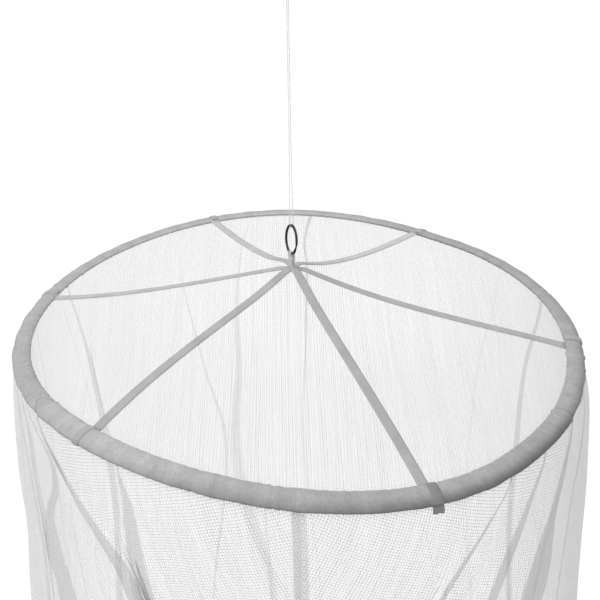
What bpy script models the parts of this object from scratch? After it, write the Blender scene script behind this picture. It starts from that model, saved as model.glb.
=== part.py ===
# Mosquito net canopy: a net tube gathered onto a sleeved round hoop, which three crossing tapes
# carry from a steel ring on a doubled clear line. Metres, +Z up, origin at the hanging point.
import math

import bmesh
import bpy
import numpy as np

# The hoop's middle and the crown hang below the origin; other heights are above the hoop's middle
HOOP_DROP = 0.3687
HOOP_SHIFT = -0.002
CROWN_SHIFT = -0.004
CROWN_HEIGHT = 0.0620
RING_HEIGHT = 0.099

# Hoop and the cloth sleeve round it
STATIONS = 72
WIRE_RADIUS = 0.002
WIRE_SIDES = 6
WIRE_OFFSET = 0.003
WIRE_RISE = 0.00045
SLEEVE_HALF_WIDTH = 0.010
SLEEVE_HALF_HEIGHT = 0.004
SLEEVE_CLOTH = 0.001
SLEEVE_SIDES = 9
SLEEVE_DIP = math.radians(12)
SEAM_REACH = 0.0064
SEAM_HALF_GAP = 0.0014
CLEARANCE = 0.00035

# How far the spring-wire hoop is out of round and out of flat: degrees, radius mm, lift mm
HOOP_SHAPE = (
    (0, 310, -13),
    (15, 300, -7),
    (30, 287, -3),
    (45, 279, -3),
    (60, 284, -5),
    (75, 297, -8),
    (90, 311, -10),
    (105, 316, -10),
    (120, 310, -6),
    (135, 302, -1),
    (150, 298, 4),
    (165, 299, 7),
    (180, 302, 8),
    (195, 301, 10),
    (210, 296, 14),
    (225, 291, 20),
    (240, 292, 25),
    (255, 297, 25),
    (270, 302, 18),
    (285, 303, 5),
    (300, 302, -9),
    (315, 302, -18),
    (330, 307, -22),
    (345, 311, -19),
)

# Net roof and its tapes
NET_THICKNESS = 0.001
ROOF_RINGS = (0.0, 0.048, 0.10, 0.25, 0.45, 0.65, 0.82, 1.0)
ROOF_SLACK = 0.005
ROOF_EDGE_RISE = -0.0006
MIDDLE_RUN = 0.45
OUTER_RUN = 0.82
TAPE_WIDTH = 0.0105
TAPE_THICKNESS = 0.001
TAPE_GAP = 0.0005
TAPE_LIFT = NET_THICKNESS / 2 + TAPE_GAP + TAPE_THICKNESS / 2
CROSSING_GAP = 0.0004
CROSSING_STEP = TAPE_THICKNESS + CROSSING_GAP
CROSSING_SHARE = 0.040
CROSSING_EASE = 0.2
TURN_GAP = 0.0007
TURN_ANGLES = (155, 130, 100, 70, 35, 5, -22)
TAIL_PARTS = (0.45, 1.0)
TAIL_LEAN = 0.25
TAIL_START = 0.0004

# Where the tape ends meet the sleeve: angle, then how far the tape sags below a straight run
# to the crown at the middle and near the hoop, mm
TAPE_ENDS = (
    (51.0, 8, 3),
    (112.5, 9, 3),
    (171.5, 7, 3),
    (230.0, -2, -4),
    (290.5, 1, -1),
    (349.5, 6, 1),
)

# Each tape runs right across: name, its two ends as rows above, place in the stacked crossing
TAPES = (
    ("roof_tape_side", 2, 5, 0),
    ("roof_tape_left_front", 3, 0, 1),
    ("roof_tape_right_front", 4, 1, 2),
)

# Turned tape ends on the sleeve: name, middle angle, width mm, free tail mm
TAPE_TURNS = (
    ("tape_turn_right", 352.0, 10, 0),
    ("tape_turn_back_right", 50.0, 10, 0),
    ("tape_turn_back_left", 112.0, 11, 0),
    ("tape_turn_left", 169.3, 10, 0),
    ("tape_turn_left_front", 229.0, 10, 0),
    ("tape_turn_right_front", 292.3, 9.5, 9),
)

# Net wall
WALL_THICKNESS = 0.0012
HEM_THICKNESS = 0.002
WALL_DROPS = (0.0, 0.03, 0.06, 0.10, 0.15, 0.24, 0.50, 1.00, 1.60, 2.28, 2.30)
WALL_DROP = WALL_DROPS[-1]
HEM_HEIGHT = WALL_DROPS[-1] - WALL_DROPS[-2]
WALL_COLUMNS = 144
WALL_TOP_REACH = 0.00615
WALL_TOP_RISE = -0.0024
FLARE = 0.14
FLARE_EASE = 0.008
PUFF = 0.007
PUFF_DROP = 0.02
FOLD_START = 0.15
DRIFT_DROP = 0.16
FOLD_GROWTH = 1.3
SEAM_STRIP = (268.5, 270.4)
SEAM_STRIP_THICKNESS = 0.0022

# One row per fold of the wall: angle at the hoop, angle where the slant ends, angle at the hem,
# depth near the hoop mm, depth at the hem mm
FOLDS = (
    (2.0, 8.0, 10, 8, 60),
    (22.0, 32.0, 28, 6, 55),
    (40.0, 46.0, 42, 4, 50),
    (58.0, 60.0, 56, 5, 62),
    (76.0, 75.0, 71, 4, 66),
    (85.0, 86.5, 84, 3, 52),
    (97.0, 97.0, 94, 4, 58),
    (112.0, 112.0, 106, 5, 48),
    (130.0, 127.0, 121, 4, 64),
    (149.0, 141.0, 136, 5, 56),
    (166.0, 160.0, 154, 6, 68),
    (180.0, 178.0, 171, 5, 52),
    (195.0, 192.0, 186, 6, 58),
    (206.0, 206.0, 200, 6, 60),
    (215.0, 232.0, 219, 7, 66),
    (228.0, 241.0, 233, 5, 50),
    (240.0, 246.5, 245, 4, 44),
    (251.0, 255.0, 254, 4, 44),
    (264.5, 265.3, 265, 3, 42),
    (269.5, 269.5, 273, 3, 40),
    (280.0, 281.5, 284, 3, 48),
    (287.5, 290.0, 293, 4, 36),
    (300.0, 296.0, 303, 5, 32),
    (311.0, 301.5, 312, 5, 34),
    (317.5, 307.5, 321, 5, 38),
    (327.0, 315.0, 331, 7, 44),
    (338.0, 327.0, 342, 6, 50),
    (350.0, 345.0, 355, 8, 56),
)

# Crown ring, its tape loop and the line
RING_OUTER_RADIUS = 0.0165
RING_WIRE_RADIUS = 0.0011
RING_TURN = math.radians(-19.8)
RING_LEAN = math.radians(8.2)
RING_SLIP = math.radians(15)
RING_STEPS = 28
RING_SIDES = 8
LOOP_WIDTH = 0.008
LOOP_THICKNESS = 0.001
LOOP_SLACK = 0.0005
LOOP_BEND = RING_WIRE_RADIUS + LOOP_SLACK
LOOP_FOOT = 0.0004
LOOP_BEND_STEPS = 9
LINE_RADIUS = 0.00045
LINE_SPACING = 0.0017
LINE_LENGTH_STEPS = 14
LINE_BEND_STEPS = 11
KNOT_RADIUS = 0.0028
KNOT_HALF_HEIGHT = 0.0045
KNOT_SIDES = 12
KNOT_PROFILE = ((-1.0, 0.55), (-0.55, 1.0), (0.3, 1.0), (1.0, 0.45))
EYE_RADIUS = 0.0055
EYE_WIRE_RADIUS = 0.0007
EYE_STEPS = 20
EYE_SIDES = 6
EYE_DROP = EYE_RADIUS - EYE_WIRE_RADIUS
KNOT_DROP = EYE_DROP + KNOT_HALF_HEIGHT + EYE_RADIUS - 3 * EYE_WIRE_RADIUS

COLOURS = {
    "net": (0.80, 0.80, 0.80, 0.85, 0.0),
    "sleeve_cloth": (0.72, 0.72, 0.72, 0.9, 0.0),
    "tape": (0.62, 0.62, 0.62, 0.85, 0.0),
    "spring_steel": (0.45, 0.45, 0.46, 0.4, 1.0),
    "dark_steel": (0.12, 0.12, 0.13, 0.3, 1.0),
    "clear_line": (0.86, 0.87, 0.87, 0.2, 0.0),
}


def clear_scene():
    for item in list(bpy.data.objects):
        bpy.data.objects.remove(item)


def make_material(name):
    red, green, blue, roughness, metallic = COLOURS[name]
    material = bpy.data.materials.new(name)
    material.use_nodes = True
    shader = material.node_tree.nodes["Principled BSDF"]
    shader.inputs["Base Color"].default_value = (red, green, blue, 1.0)
    shader.inputs["Roughness"].default_value = roughness
    shader.inputs["Metallic"].default_value = metallic
    return material


def add_frame(name, place):
    frame = bpy.data.objects.new(name, None)
    frame.location = place
    bpy.context.scene.collection.objects.link(frame)
    return frame


def add_object(name, points, faces, material, parent=None, smooth=True):
    mesh = bpy.data.meshes.new(name)
    mesh.from_pydata([tuple(map(float, point)) for point in points], [], faces)
    shape = bmesh.new()
    shape.from_mesh(mesh)
    bmesh.ops.recalc_face_normals(shape, faces=shape.faces)
    if shape.calc_volume(signed=True) < 0:
        bmesh.ops.reverse_faces(shape, faces=shape.faces)
    shape.to_mesh(mesh)
    shape.free()
    mesh.materials.append(material)
    if smooth:
        mesh.shade_smooth()
        mesh.set_sharp_from_angle(angle=math.radians(40))
    made = bpy.data.objects.new(name, mesh)
    made.parent = parent
    bpy.context.scene.collection.objects.link(made)
    return made


def sweep(sections, closed):
    # Joins equal outlines, one per station, into a tube or, when open, a capped bar
    sections = np.asarray(sections)
    count, sides = sections.shape[:2]
    points = sections.reshape(-1, 3)
    faces = []
    for step in range(count if closed else count - 1):
        here = step * sides
        there = ((step + 1) % count) * sides
        for side in range(sides):
            after = (side + 1) % sides
            faces.append((here + side, here + after, there + after, there + side))
    if not closed:
        faces.append(tuple(range(sides)))
        faces.append(tuple(range((count - 1) * sides, count * sides)))
    return points, faces


def smooth_step(value):
    value = min(max(value, 0.0), 1.0)
    return value * value * (3 - 2 * value)


def round_value(rows, column, degrees):
    # Smooth periodic curve through evenly spaced rows
    count = len(rows)
    place = (degrees % 360) / 360 * count
    first = int(place)
    share = place - first
    a, b, c, d = (rows[(first + k - 1) % count][column] for k in range(4))
    return 0.5 * (
        2 * b
        + (c - a) * share
        + (2 * a - 5 * b + 4 * c - d) * share**2
        + (3 * b - a - 3 * c + d) * share**3
    )


def station_point(step, reach, rise):
    # A point beside the hoop's line: reach along the sleeve's width, rise square to it
    degrees = 360 * step / STATIONS
    angle = math.radians(degrees)
    radius = round_value(HOOP_SHAPE, 1, degrees) / 1000
    lift = round_value(HOOP_SHAPE, 2, degrees) / 1000
    outward = radius + reach * math.cos(SLEEVE_DIP) + rise * math.sin(SLEEVE_DIP)
    height = lift - reach * math.sin(SLEEVE_DIP) + rise * math.cos(SLEEVE_DIP)
    return np.array((outward * math.cos(angle), outward * math.sin(angle), height))


def hoop_point(degrees, reach, rise):
    # The same point anywhere on the straight steps between stations
    place = (degrees % 360) / 360 * STATIONS
    first = int(place)
    share = place - first
    start = station_point(first, reach, rise)
    end = station_point(first + 1, reach, rise)
    return start * (1 - share) + end * share


def ellipse_point(degrees, half_width, half_height):
    angle = math.radians(degrees)
    return half_width * math.cos(angle), half_height * math.sin(angle)


def lip_degrees(reach, half_width):
    return -math.degrees(math.acos(reach / half_width))


def add_hoop(material, parent):
    outline = [
        ellipse_point(360 * k / WIRE_SIDES, WIRE_RADIUS, WIRE_RADIUS) for k in range(WIRE_SIDES)
    ]
    sections = [
        [station_point(step, WIRE_OFFSET + across, WIRE_RISE + up) for across, up in outline]
        for step in range(STATIONS)
    ]
    points, faces = sweep(sections, closed=True)
    add_object("hoop", points, faces, material, parent)


def sleeve_outline():
    # A flattened tube with a narrow open seam low on its outer side
    outline = []
    for inset in (0.0, SLEEVE_CLOTH):
        half_width = SLEEVE_HALF_WIDTH - inset
        half_height = SLEEVE_HALF_HEIGHT - inset
        outer_lip = lip_degrees(SEAM_REACH + SEAM_HALF_GAP, half_width)
        inner_lip = 360 + lip_degrees(SEAM_REACH - SEAM_HALF_GAP, half_width)
        turn = np.linspace(outer_lip, inner_lip, SLEEVE_SIDES)
        skin = [ellipse_point(degrees, half_width, half_height) for degrees in turn]
        outline += skin if inset == 0 else skin[::-1]
    return outline


def add_sleeve(material, parent):
    outline = sleeve_outline()
    sections = [
        [station_point(step, across, up) for across, up in outline] for step in range(STATIONS)
    ]
    points, faces = sweep(sections, closed=True)
    add_object("hoop_sleeve", points, faces, material, parent)


def roof_edge(degrees):
    return hoop_point(degrees, -SLEEVE_HALF_WIDTH - CLEARANCE, ROOF_EDGE_RISE)


def between_ends(degrees):
    # The two tape ends on either side of this angle, and how far along it lies between them
    after = next((k for k, end in enumerate(TAPE_ENDS) if end[0] > degrees % 360), 0)
    start, end = TAPE_ENDS[after - 1], TAPE_ENDS[after]
    share = ((degrees - start[0]) % 360) / ((end[0] - start[0]) % 360)
    return start, end, share


def tape_sag(degrees, run):
    # A curve through the crown, the two sags of the nearest tapes and the hoop
    start, end, share = between_ends(degrees)
    part = smooth_step(share)
    middle = (start[1] * (1 - part) + end[1] * part) / 1000
    outer = (start[2] * (1 - part) + end[2] * part) / 1000
    share = run * (1 - run) / (OUTER_RUN - MIDDLE_RUN)
    middle_pull = share * (OUTER_RUN - run) / (MIDDLE_RUN * (1 - MIDDLE_RUN))
    outer_pull = share * (run - MIDDLE_RUN) / (OUTER_RUN * (1 - OUTER_RUN))
    return middle * middle_pull + outer * outer_pull


def roof_ridge(degrees, share):
    # Middle of the net under a tape: a flat crown, then the run down to the hoop
    edge = roof_edge(degrees)
    run = max(0.0, (share - ROOF_RINGS[1]) / (1 - ROOF_RINGS[1]))
    height = CROWN_HEIGHT + (edge[2] - CROWN_HEIGHT) * run - tape_sag(degrees, run)
    crown = CROWN_SHIFT - HOOP_SHIFT
    return np.array((crown * (1 - share) + edge[0] * share, edge[1] * share, height))


def roof_point(degrees, share):
    # Between two tapes the net also hangs a little slack
    place = between_ends(degrees)[2]
    slack = ROOF_SLACK * math.sin(math.pi * place) ** 2 * math.sin(math.pi * share)
    return roof_ridge(degrees, share) - np.array((0, 0, slack))


def add_roof(material, parent):
    half = np.array((0, 0, NET_THICKNESS / 2))
    rings = ROOF_RINGS[1:]
    crown = roof_point(0, 0)
    points = []
    for side in (half, -half):
        points.append(crown + side)
        for share in rings:
            points += [roof_point(360 * k / STATIONS, share) + side for k in range(STATIONS)]
    below = 1 + len(rings) * STATIONS
    faces = []
    for first in (0, below):
        for k in range(STATIONS):
            after = (k + 1) % STATIONS
            faces.append((first, first + 1 + k, first + 1 + after))
            for ring in range(len(rings) - 1):
                here = first + 1 + ring * STATIONS
                there = here + STATIONS
                faces.append((here + k, there + k, there + after, here + after))
    rim = 1 + (len(rings) - 1) * STATIONS
    for k in range(STATIONS):
        after = (k + 1) % STATIONS
        faces.append((rim + k, below + rim + k, below + rim + after, rim + after))
    add_object("roof_net", points, faces, material, parent)


def tape_section(degrees, share, place):
    # Across the tape: it follows the net, and the crossing is stacked in three layers
    step = CROSSING_STEP * place * (1 - smooth_step((share - ROOF_RINGS[1]) / CROSSING_EASE))
    middle = roof_ridge(degrees, share)
    reach = np.linalg.norm(roof_edge(degrees)[:2])
    angle = math.radians(degrees)
    sideways = np.array((-math.sin(angle), math.cos(angle), 0.0))
    section = []
    for side in (-1, 0, 1):
        aside = side * TAPE_WIDTH / 2
        beside = degrees + math.degrees(math.atan2(aside, share * reach))
        edge = roof_edge(beside)
        near = min(1.0, math.hypot(aside, share * reach) / np.linalg.norm(edge[:2]))
        point = middle + sideways * aside
        if share == 1.0:
            point = np.array((*edge[:2], 0.0))
            near = 1.0
        point[2] = roof_ridge(beside, near)[2] + TAPE_LIFT + step
        section.append(point)
    return section


def add_tapes(material, parent):
    half = np.array((0, 0, TAPE_THICKNESS / 2))
    shares = (CROSSING_SHARE, *ROOF_RINGS[1:])
    for name, first, second, place in TAPES:
        start = TAPE_ENDS[first][0]
        end = TAPE_ENDS[second][0]
        rows = [tape_section(start, share, place) for share in reversed(shares)]
        rows += [tape_section(end, share, place)[::-1] for share in shares]
        sections = [[p - half for p in row] + [p + half for p in row[::-1]] for row in rows]
        points, faces = sweep(sections, closed=False)
        add_object(name, points, faces, material, parent, smooth=False)


def turn_outline(tail):
    # Side view of a tape end laid over the sleeve, as pairs of lower and upper points
    rows = []
    for degrees in TURN_ANGLES:
        pair = []
        for gap in (TURN_GAP, TURN_GAP + TAPE_THICKNESS):
            pair.append(ellipse_point(degrees, SLEEVE_HALF_WIDTH + gap, SLEEVE_HALF_HEIGHT + gap))
        rows.append(pair)
    if tail:
        last = rows[-1]
        for part in TAIL_PARTS:
            shift = np.array((TAIL_LEAN * tail * part + TAIL_START, -tail * part))
            rows.append([np.array(point) + shift for point in last])
    return rows


def add_tape_turns(material, parent):
    station = 360 / STATIONS
    for name, middle, width, tail in TAPE_TURNS:
        half_turn = math.degrees(width / 2000 / (round_value(HOOP_SHAPE, 1, middle) / 1000))
        start, end = middle - half_turn, middle + half_turn
        corner = math.ceil(start / station) * station
        angles = [start, corner, end] if start < corner < end else [start, end]
        rows = turn_outline(tail / 1000)
        outline = [low for low, high in rows] + [high for low, high in reversed(rows)]
        sections = [
            [hoop_point(degrees, across, up) for across, up in outline] for degrees in angles
        ]
        points, faces = sweep(sections, closed=False)
        add_object(name, points, faces, material, parent, smooth=False)


def drifted_angle(degrees, drop):
    # Where the cloth that leaves the hoop at this angle hangs at this drop
    first = max((k for k, fold in enumerate(FOLDS) if fold[0] <= degrees % 360), default=-1)
    start, end = FOLDS[first], FOLDS[(first + 1) % len(FOLDS)]
    width = (end[0] - start[0]) % 360
    share = ((degrees - start[0]) % 360) / width
    near = []
    for fold in (start, end):
        slant = (fold[1] - fold[0] + 180) % 360 - 180
        settle = (fold[2] - fold[1] + 180) % 360 - 180
        fall = drop / DRIFT_DROP
        near.append(slant * fall / (1 + fall**4) ** 0.25 + settle * drop / WALL_DROP)
    return degrees + near[0] * (1 - share) + near[1] * share


def fold_height(degrees, drop):
    # Out from the mean surface on a fold's crest, in from it between two folds
    first = max((k for k, fold in enumerate(FOLDS) if fold[0] <= degrees % 360), default=-1)
    start, end = FOLDS[first], FOLDS[(first + 1) % len(FOLDS)]
    share = ((degrees - start[0]) % 360) / ((end[0] - start[0]) % 360)
    fold = start if share < 0.5 else end
    near = fold[3] / 1000 * smooth_step(drop / FOLD_START)
    growth = (drop / WALL_DROP) ** FOLD_GROWTH
    far = fold[4] / 1000 * growth
    other = end if share < 0.5 else start
    valley = (other[3] - fold[3]) / 4000 * smooth_step(drop / FOLD_START)
    valley += (other[4] - fold[4]) / 4000 * growth
    crest = math.cos(math.pi * share) ** 2
    return (near + far) * (crest - 0.5) - valley * (1 - crest)


def wall_point(degrees, drop):
    top = hoop_point(degrees, WALL_TOP_REACH, WALL_TOP_RISE)
    place = drifted_angle(degrees, drop)
    reach = hoop_point(place, WALL_TOP_REACH, WALL_TOP_RISE)
    radius = math.hypot(reach[0], reach[1])
    radius += FLARE * drop - FLARE_EASE * drop**2 + fold_height(degrees, drop)
    radius += PUFF * (1 - math.exp(-drop / PUFF_DROP))
    angle = math.radians(place)
    if drop == 0:
        return top
    return np.array((radius * math.cos(angle), radius * math.sin(angle), top[2] - drop))


def wall_angles():
    angles = [360 * k / WALL_COLUMNS for k in range(WALL_COLUMNS)]
    for edge in SEAM_STRIP:
        nearest = min(range(WALL_COLUMNS), key=lambda k: abs(angles[k] - edge))
        angles[nearest] = edge
    return angles


def add_wall(material, parent):
    angles = wall_angles()
    count = len(angles)
    rows = np.array([[wall_point(angle, drop) for angle in angles] for drop in WALL_DROPS])
    across = np.roll(rows, -1, axis=1) - np.roll(rows, 1, axis=1)
    down = np.gradient(rows, axis=0)
    normal = np.cross(down, across)
    normal /= np.linalg.norm(normal, axis=2, keepdims=True)
    outer, inner = [], []
    for row, drop in enumerate(WALL_DROPS):
        for column, angle in enumerate(angles):
            half = WALL_THICKNESS / 2
            if drop >= WALL_DROP - HEM_HEIGHT:
                half = HEM_THICKNESS / 2
            extra = 0.0
            if angle in SEAM_STRIP and drop > 0:
                extra = SEAM_STRIP_THICKNESS - WALL_THICKNESS
            outer.append(rows[row, column] + normal[row, column] * (half + extra))
            inner.append(rows[row, column] - normal[row, column] * half)
    points = outer + inner
    below = len(outer)
    faces = []
    last = (len(WALL_DROPS) - 1) * count
    for column in range(count):
        after = (column + 1) % count
        for row in range(len(WALL_DROPS) - 1):
            here = row * count
            there = here + count
            faces.append((here + column, here + after, there + after, there + column))
            faces.append(
                (below + here + column, below + there + column)
                + (below + there + after, below + here + after)
            )
        faces.append((column, below + column, below + after, after))
        faces.append((last + column, last + after, below + last + after, below + last + column))
    add_object("wall_net", points, faces, material, parent)


def ring_axes():
    # Along the wire where the line and the loop hold the ring, square to its plane, and from its
    # middle to where the line holds it
    level = np.array((math.sin(RING_TURN), math.cos(RING_TURN), 0.0))
    across = np.array((math.cos(RING_TURN), -math.sin(RING_TURN), 0.0))
    up = np.array((0.0, 0.0, 1.0))
    leant_up = up * math.cos(RING_LEAN) + across * math.sin(RING_LEAN)
    normal = across * math.cos(RING_LEAN) - up * math.sin(RING_LEAN)
    along = level * math.cos(RING_SLIP) - leant_up * math.sin(RING_SLIP)
    held_up = leant_up * math.cos(RING_SLIP) + level * math.sin(RING_SLIP)
    return along, normal, held_up


def add_ring(material, parent):
    along, normal, up = ring_axes()
    centre = np.array((0, 0, RING_HEIGHT))
    radius = RING_OUTER_RADIUS - RING_WIRE_RADIUS
    sections = []
    for step in range(RING_STEPS):
        angle = 2 * math.pi * step / RING_STEPS
        out = along * math.cos(angle) + up * math.sin(angle)
        sections.append(
            [
                centre + out * (radius + across) + normal * side
                for across, side in (
                    ellipse_point(360 * k / RING_SIDES, RING_WIRE_RADIUS, RING_WIRE_RADIUS)
                    for k in range(RING_SIDES)
                )
            ]
        )
    points, faces = sweep(sections, closed=True)
    add_object("crown_ring", points, faces, material, parent)


def loop_point(mark, share, radius, edge):
    # On one face of the loop: up one leg, over the ring's lowest wire and down the other leg
    along, normal, up = ring_axes()
    level = np.array((along[0], along[1], 0.0)) / math.hypot(along[0], along[1])
    level_side = np.array((level[1], -level[0], 0.0))
    side = level_side * (1 - share) + normal * share
    width_way = level * (1 - share) + along * share
    wire = RING_OUTER_RADIUS - RING_WIRE_RADIUS
    centre = np.array((0, 0, RING_HEIGHT))
    hook = centre - up * wire
    rise = wire - math.sqrt(wire**2 - (edge * LOOP_WIDTH / 2) ** 2)
    foot = CROWN_HEIGHT + TAPE_LIFT + 2 * CROSSING_STEP
    foot += TAPE_THICKNESS / 2 + CLEARANCE
    if share < 1:
        reach = radius - (1 - share) * (LOOP_BEND - LOOP_FOOT)
        middle = np.array((hook[0] * share, hook[1] * share, foot + (hook[2] - foot) * share))
        middle = middle + side * mark * reach + up * rise * share
    else:
        turn = math.radians(mark)
        middle = hook + side * radius * math.cos(turn) + up * (radius * math.sin(turn) + rise)
    return middle + width_way * edge * LOOP_WIDTH / 2


def add_loop(material, parent):
    path = [(-1, 0.0), (-1, 0.5)]
    path += [(angle, 1.0) for angle in np.linspace(180, 0, LOOP_BEND_STEPS)]
    path += [(1, 0.5), (1, 0.0)]
    sections = []
    for mark, share in path:
        inner = [loop_point(mark, share, LOOP_BEND, edge) for edge in (-1, 0, 1)]
        outer = [loop_point(mark, share, LOOP_BEND + LOOP_THICKNESS, edge) for edge in (1, 0, -1)]
        sections.append(inner + outer)
    points, faces = sweep(sections, closed=False)
    add_object("crown_loop", points, faces, material, parent, smooth=False)


def line_route():
    # Down from the knot, through the ring under its top, and back up to the knot
    along, normal, up = ring_axes()
    side = -normal
    level_side = np.array((side[0], side[1], 0.0)) / math.hypot(side[0], side[1])
    top = np.array((CROWN_SHIFT, 0, RING_HEIGHT - HOOP_DROP))
    top = top + up * (RING_OUTER_RADIUS - RING_WIRE_RADIUS)
    bend = RING_WIRE_RADIUS + CLEARANCE + LINE_RADIUS
    start = np.array((0, 0, -KNOT_DROP - KNOT_HALF_HEIGHT - CLEARANCE))
    down = []
    for step in range(LINE_LENGTH_STEPS):
        share = step / LINE_LENGTH_STEPS
        spread = LINE_SPACING / 2 + (bend - LINE_SPACING / 2) * smooth_step(share**3)
        down.append((share, (level_side * (1 - share) + side * share) * spread))
    points = [start * (1 - s) + top * s - apart for s, apart in down]
    for degrees in np.linspace(180, 360, LINE_BEND_STEPS):
        turn = math.radians(degrees)
        points.append(top + side * bend * math.cos(turn) + up * bend * math.sin(turn))
    points += [start * (1 - s) + top * s + apart for s, apart in reversed(down)]
    return points


def add_line(material):
    route = line_route()
    curve = bpy.data.curves.new("hanging_line", "CURVE")
    curve.dimensions = "3D"
    curve.bevel_depth = LINE_RADIUS
    curve.bevel_resolution = 2
    curve.use_fill_caps = True
    spline = curve.splines.new("POLY")
    spline.points.add(len(route) - 1)
    for place, point in zip(spline.points, route):
        place.co = (*map(float, point), 1.0)
    curve.materials.append(material)
    made = bpy.data.objects.new("hanging_line", curve)
    bpy.context.scene.collection.objects.link(made)


def add_knot(material):
    # A small turned knot, and the eye above it that a ceiling hook goes through
    knot = np.array((0, 0, -KNOT_DROP))
    sides = KNOT_SIDES
    points = []
    for height, width in KNOT_PROFILE:
        for k in range(sides):
            angle = 2 * math.pi * k / sides
            out = KNOT_RADIUS * width
            points.append(
                knot
                + np.array(
                    (out * math.cos(angle), out * math.sin(angle), KNOT_HALF_HEIGHT * height)
                )
            )
    last = (len(KNOT_PROFILE) - 1) * sides
    faces = [tuple(range(sides)), tuple(range(last, last + sides))]
    for row in range(len(KNOT_PROFILE) - 1):
        for k in range(sides):
            after = (k + 1) % sides
            here = row * sides
            faces.append((here + k, here + after, here + sides + after, here + sides + k))
    made = add_object("line_knot", points, faces, material)
    centre = np.array((0, 0, -EYE_DROP))
    sections = []
    for step in range(EYE_STEPS):
        angle = 2 * math.pi * step / EYE_STEPS
        out = np.array((math.cos(angle), 0.0, math.sin(angle)))
        sections.append(
            [
                centre + out * (EYE_RADIUS + across) + np.array((0.0, side, 0.0))
                for across, side in (
                    ellipse_point(360 * k / EYE_SIDES, EYE_WIRE_RADIUS, EYE_WIRE_RADIUS)
                    for k in range(EYE_SIDES)
                )
            ]
        )
    eye_points, eye_faces = sweep(sections, closed=True)
    eye = add_object("line_eye", eye_points, eye_faces, material)
    eye.hide_render = True
    eye.display_type = "WIRE"
    join = made.modifiers.new("join the eye", "BOOLEAN")
    join.operation = "UNION"
    join.solver = "EXACT"
    join.object = eye


def main():
    clear_scene()
    materials = {name: make_material(name) for name in COLOURS}
    hoop_frame = add_frame("hoop_middle", (HOOP_SHIFT, 0, -HOOP_DROP))
    crown_frame = add_frame("crown_axis", (CROWN_SHIFT, 0, -HOOP_DROP))
    add_hoop(materials["spring_steel"], hoop_frame)
    add_sleeve(materials["sleeve_cloth"], hoop_frame)
    add_roof(materials["net"], hoop_frame)
    add_wall(materials["net"], hoop_frame)
    add_tapes(materials["tape"], hoop_frame)
    add_tape_turns(materials["tape"], hoop_frame)
    add_ring(materials["dark_steel"], crown_frame)
    add_loop(materials["tape"], crown_frame)
    add_line(materials["clear_line"])
    add_knot(materials["clear_line"])


main()
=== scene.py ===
import math

import bpy
import numpy as np
from mathutils import Matrix


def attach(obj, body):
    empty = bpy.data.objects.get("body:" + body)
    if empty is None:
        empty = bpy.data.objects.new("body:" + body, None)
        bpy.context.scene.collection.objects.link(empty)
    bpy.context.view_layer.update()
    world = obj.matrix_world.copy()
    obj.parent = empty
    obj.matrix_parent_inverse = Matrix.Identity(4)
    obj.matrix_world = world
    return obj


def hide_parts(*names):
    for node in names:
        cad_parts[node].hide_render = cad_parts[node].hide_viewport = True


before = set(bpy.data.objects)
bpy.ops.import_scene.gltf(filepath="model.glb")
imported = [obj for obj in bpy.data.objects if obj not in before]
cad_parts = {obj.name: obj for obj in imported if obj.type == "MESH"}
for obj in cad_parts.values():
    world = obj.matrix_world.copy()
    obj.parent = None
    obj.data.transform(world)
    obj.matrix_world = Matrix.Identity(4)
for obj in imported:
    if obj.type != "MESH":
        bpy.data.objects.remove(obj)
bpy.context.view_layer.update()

# Metres from the hanging point. The hoop's middle and the crown hang below it, and the heights
# of the crown and the ring are above the hoop's middle.
hoopMiddle = np.array((-0.002, 0.0, -0.3687))
crownAxis = np.array((-0.004, 0.0, -0.3687))
crownHeight = 0.0620
ringHeight = 0.0990
meanRadius = 0.3  # of the hoop, for turning degrees into metres
upward = np.array((0.0, 0.0, 1.0))
chance = np.random.default_rng(11)

cameraView = {
    "place": (-0.002, -0.7255, 0.0906),
    "down": 31.0889,  # degrees below level
    "right": 0.43985,
    "roll": -1.62449,
    "lens": 44.594,
    "sensor": 36,
    "clip": (0.02, 300),
}


def newObject(name, data):
    made = bpy.data.objects.new(name, data)
    bpy.context.scene.collection.objects.link(made)
    return made


def addCamera():
    down, right, roll = (math.radians(cameraView[key]) for key in ("down", "right", "roll"))
    ahead = np.array((math.sin(right), math.cos(right), 0.0)) * math.cos(down) - upward * math.sin(down)
    level = np.array((math.cos(right), -math.sin(right), 0.0))
    above = np.cross(level, ahead)
    frameAxes = np.eye(4)
    frameAxes[:3, 0] = level * math.cos(roll) + above * math.sin(roll)
    frameAxes[:3, 1] = -level * math.sin(roll) + above * math.cos(roll)
    frameAxes[:3, 2] = -ahead
    frameAxes[:3, 3] = cameraView["place"]
    data = bpy.data.cameras.new("camera")
    data.sensor_width = cameraView["sensor"]
    data.lens = cameraView["lens"]
    data.clip_start, data.clip_end = cameraView["clip"]
    camera = newObject("camera", data)
    camera.matrix_world = Matrix(frameAxes.tolist())
    bpy.context.scene.camera = camera


def addNodes(tree, kinds):
    # New nodes under the names that the wires call them by
    return {name: tree.nodes.new(kind) for name, kind in kinds.items()}


def addWires(tree, nodes, wires):
    # Each wire: a node and its output, then the node and the input it goes to
    for source, output, target, socket in wires:
        tree.links.new(nodes[source].outputs[output], nodes[target].inputs[socket])


def setInputs(node, values):
    for name, value in values.items():
        node.inputs[name].default_value = value


studio = {
    "sky": ((0.0, 0.20), (0.42, 0.20), (0.56, 0.50), (1.0, 0.62)),  # share of the way up, brightness
    "skySeen": 1.005,
    "keyPlace": (-2.7, -0.3, 2.6),
    "keySize": 2.0,
    "keyPower": 42.0,
    "floorHeight": -2.70,
    "floorReach": 60.0,
    "floorGrey": 0.04,
    "floorGlow": 1.0,
    "netLayers": 48,
}


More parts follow.
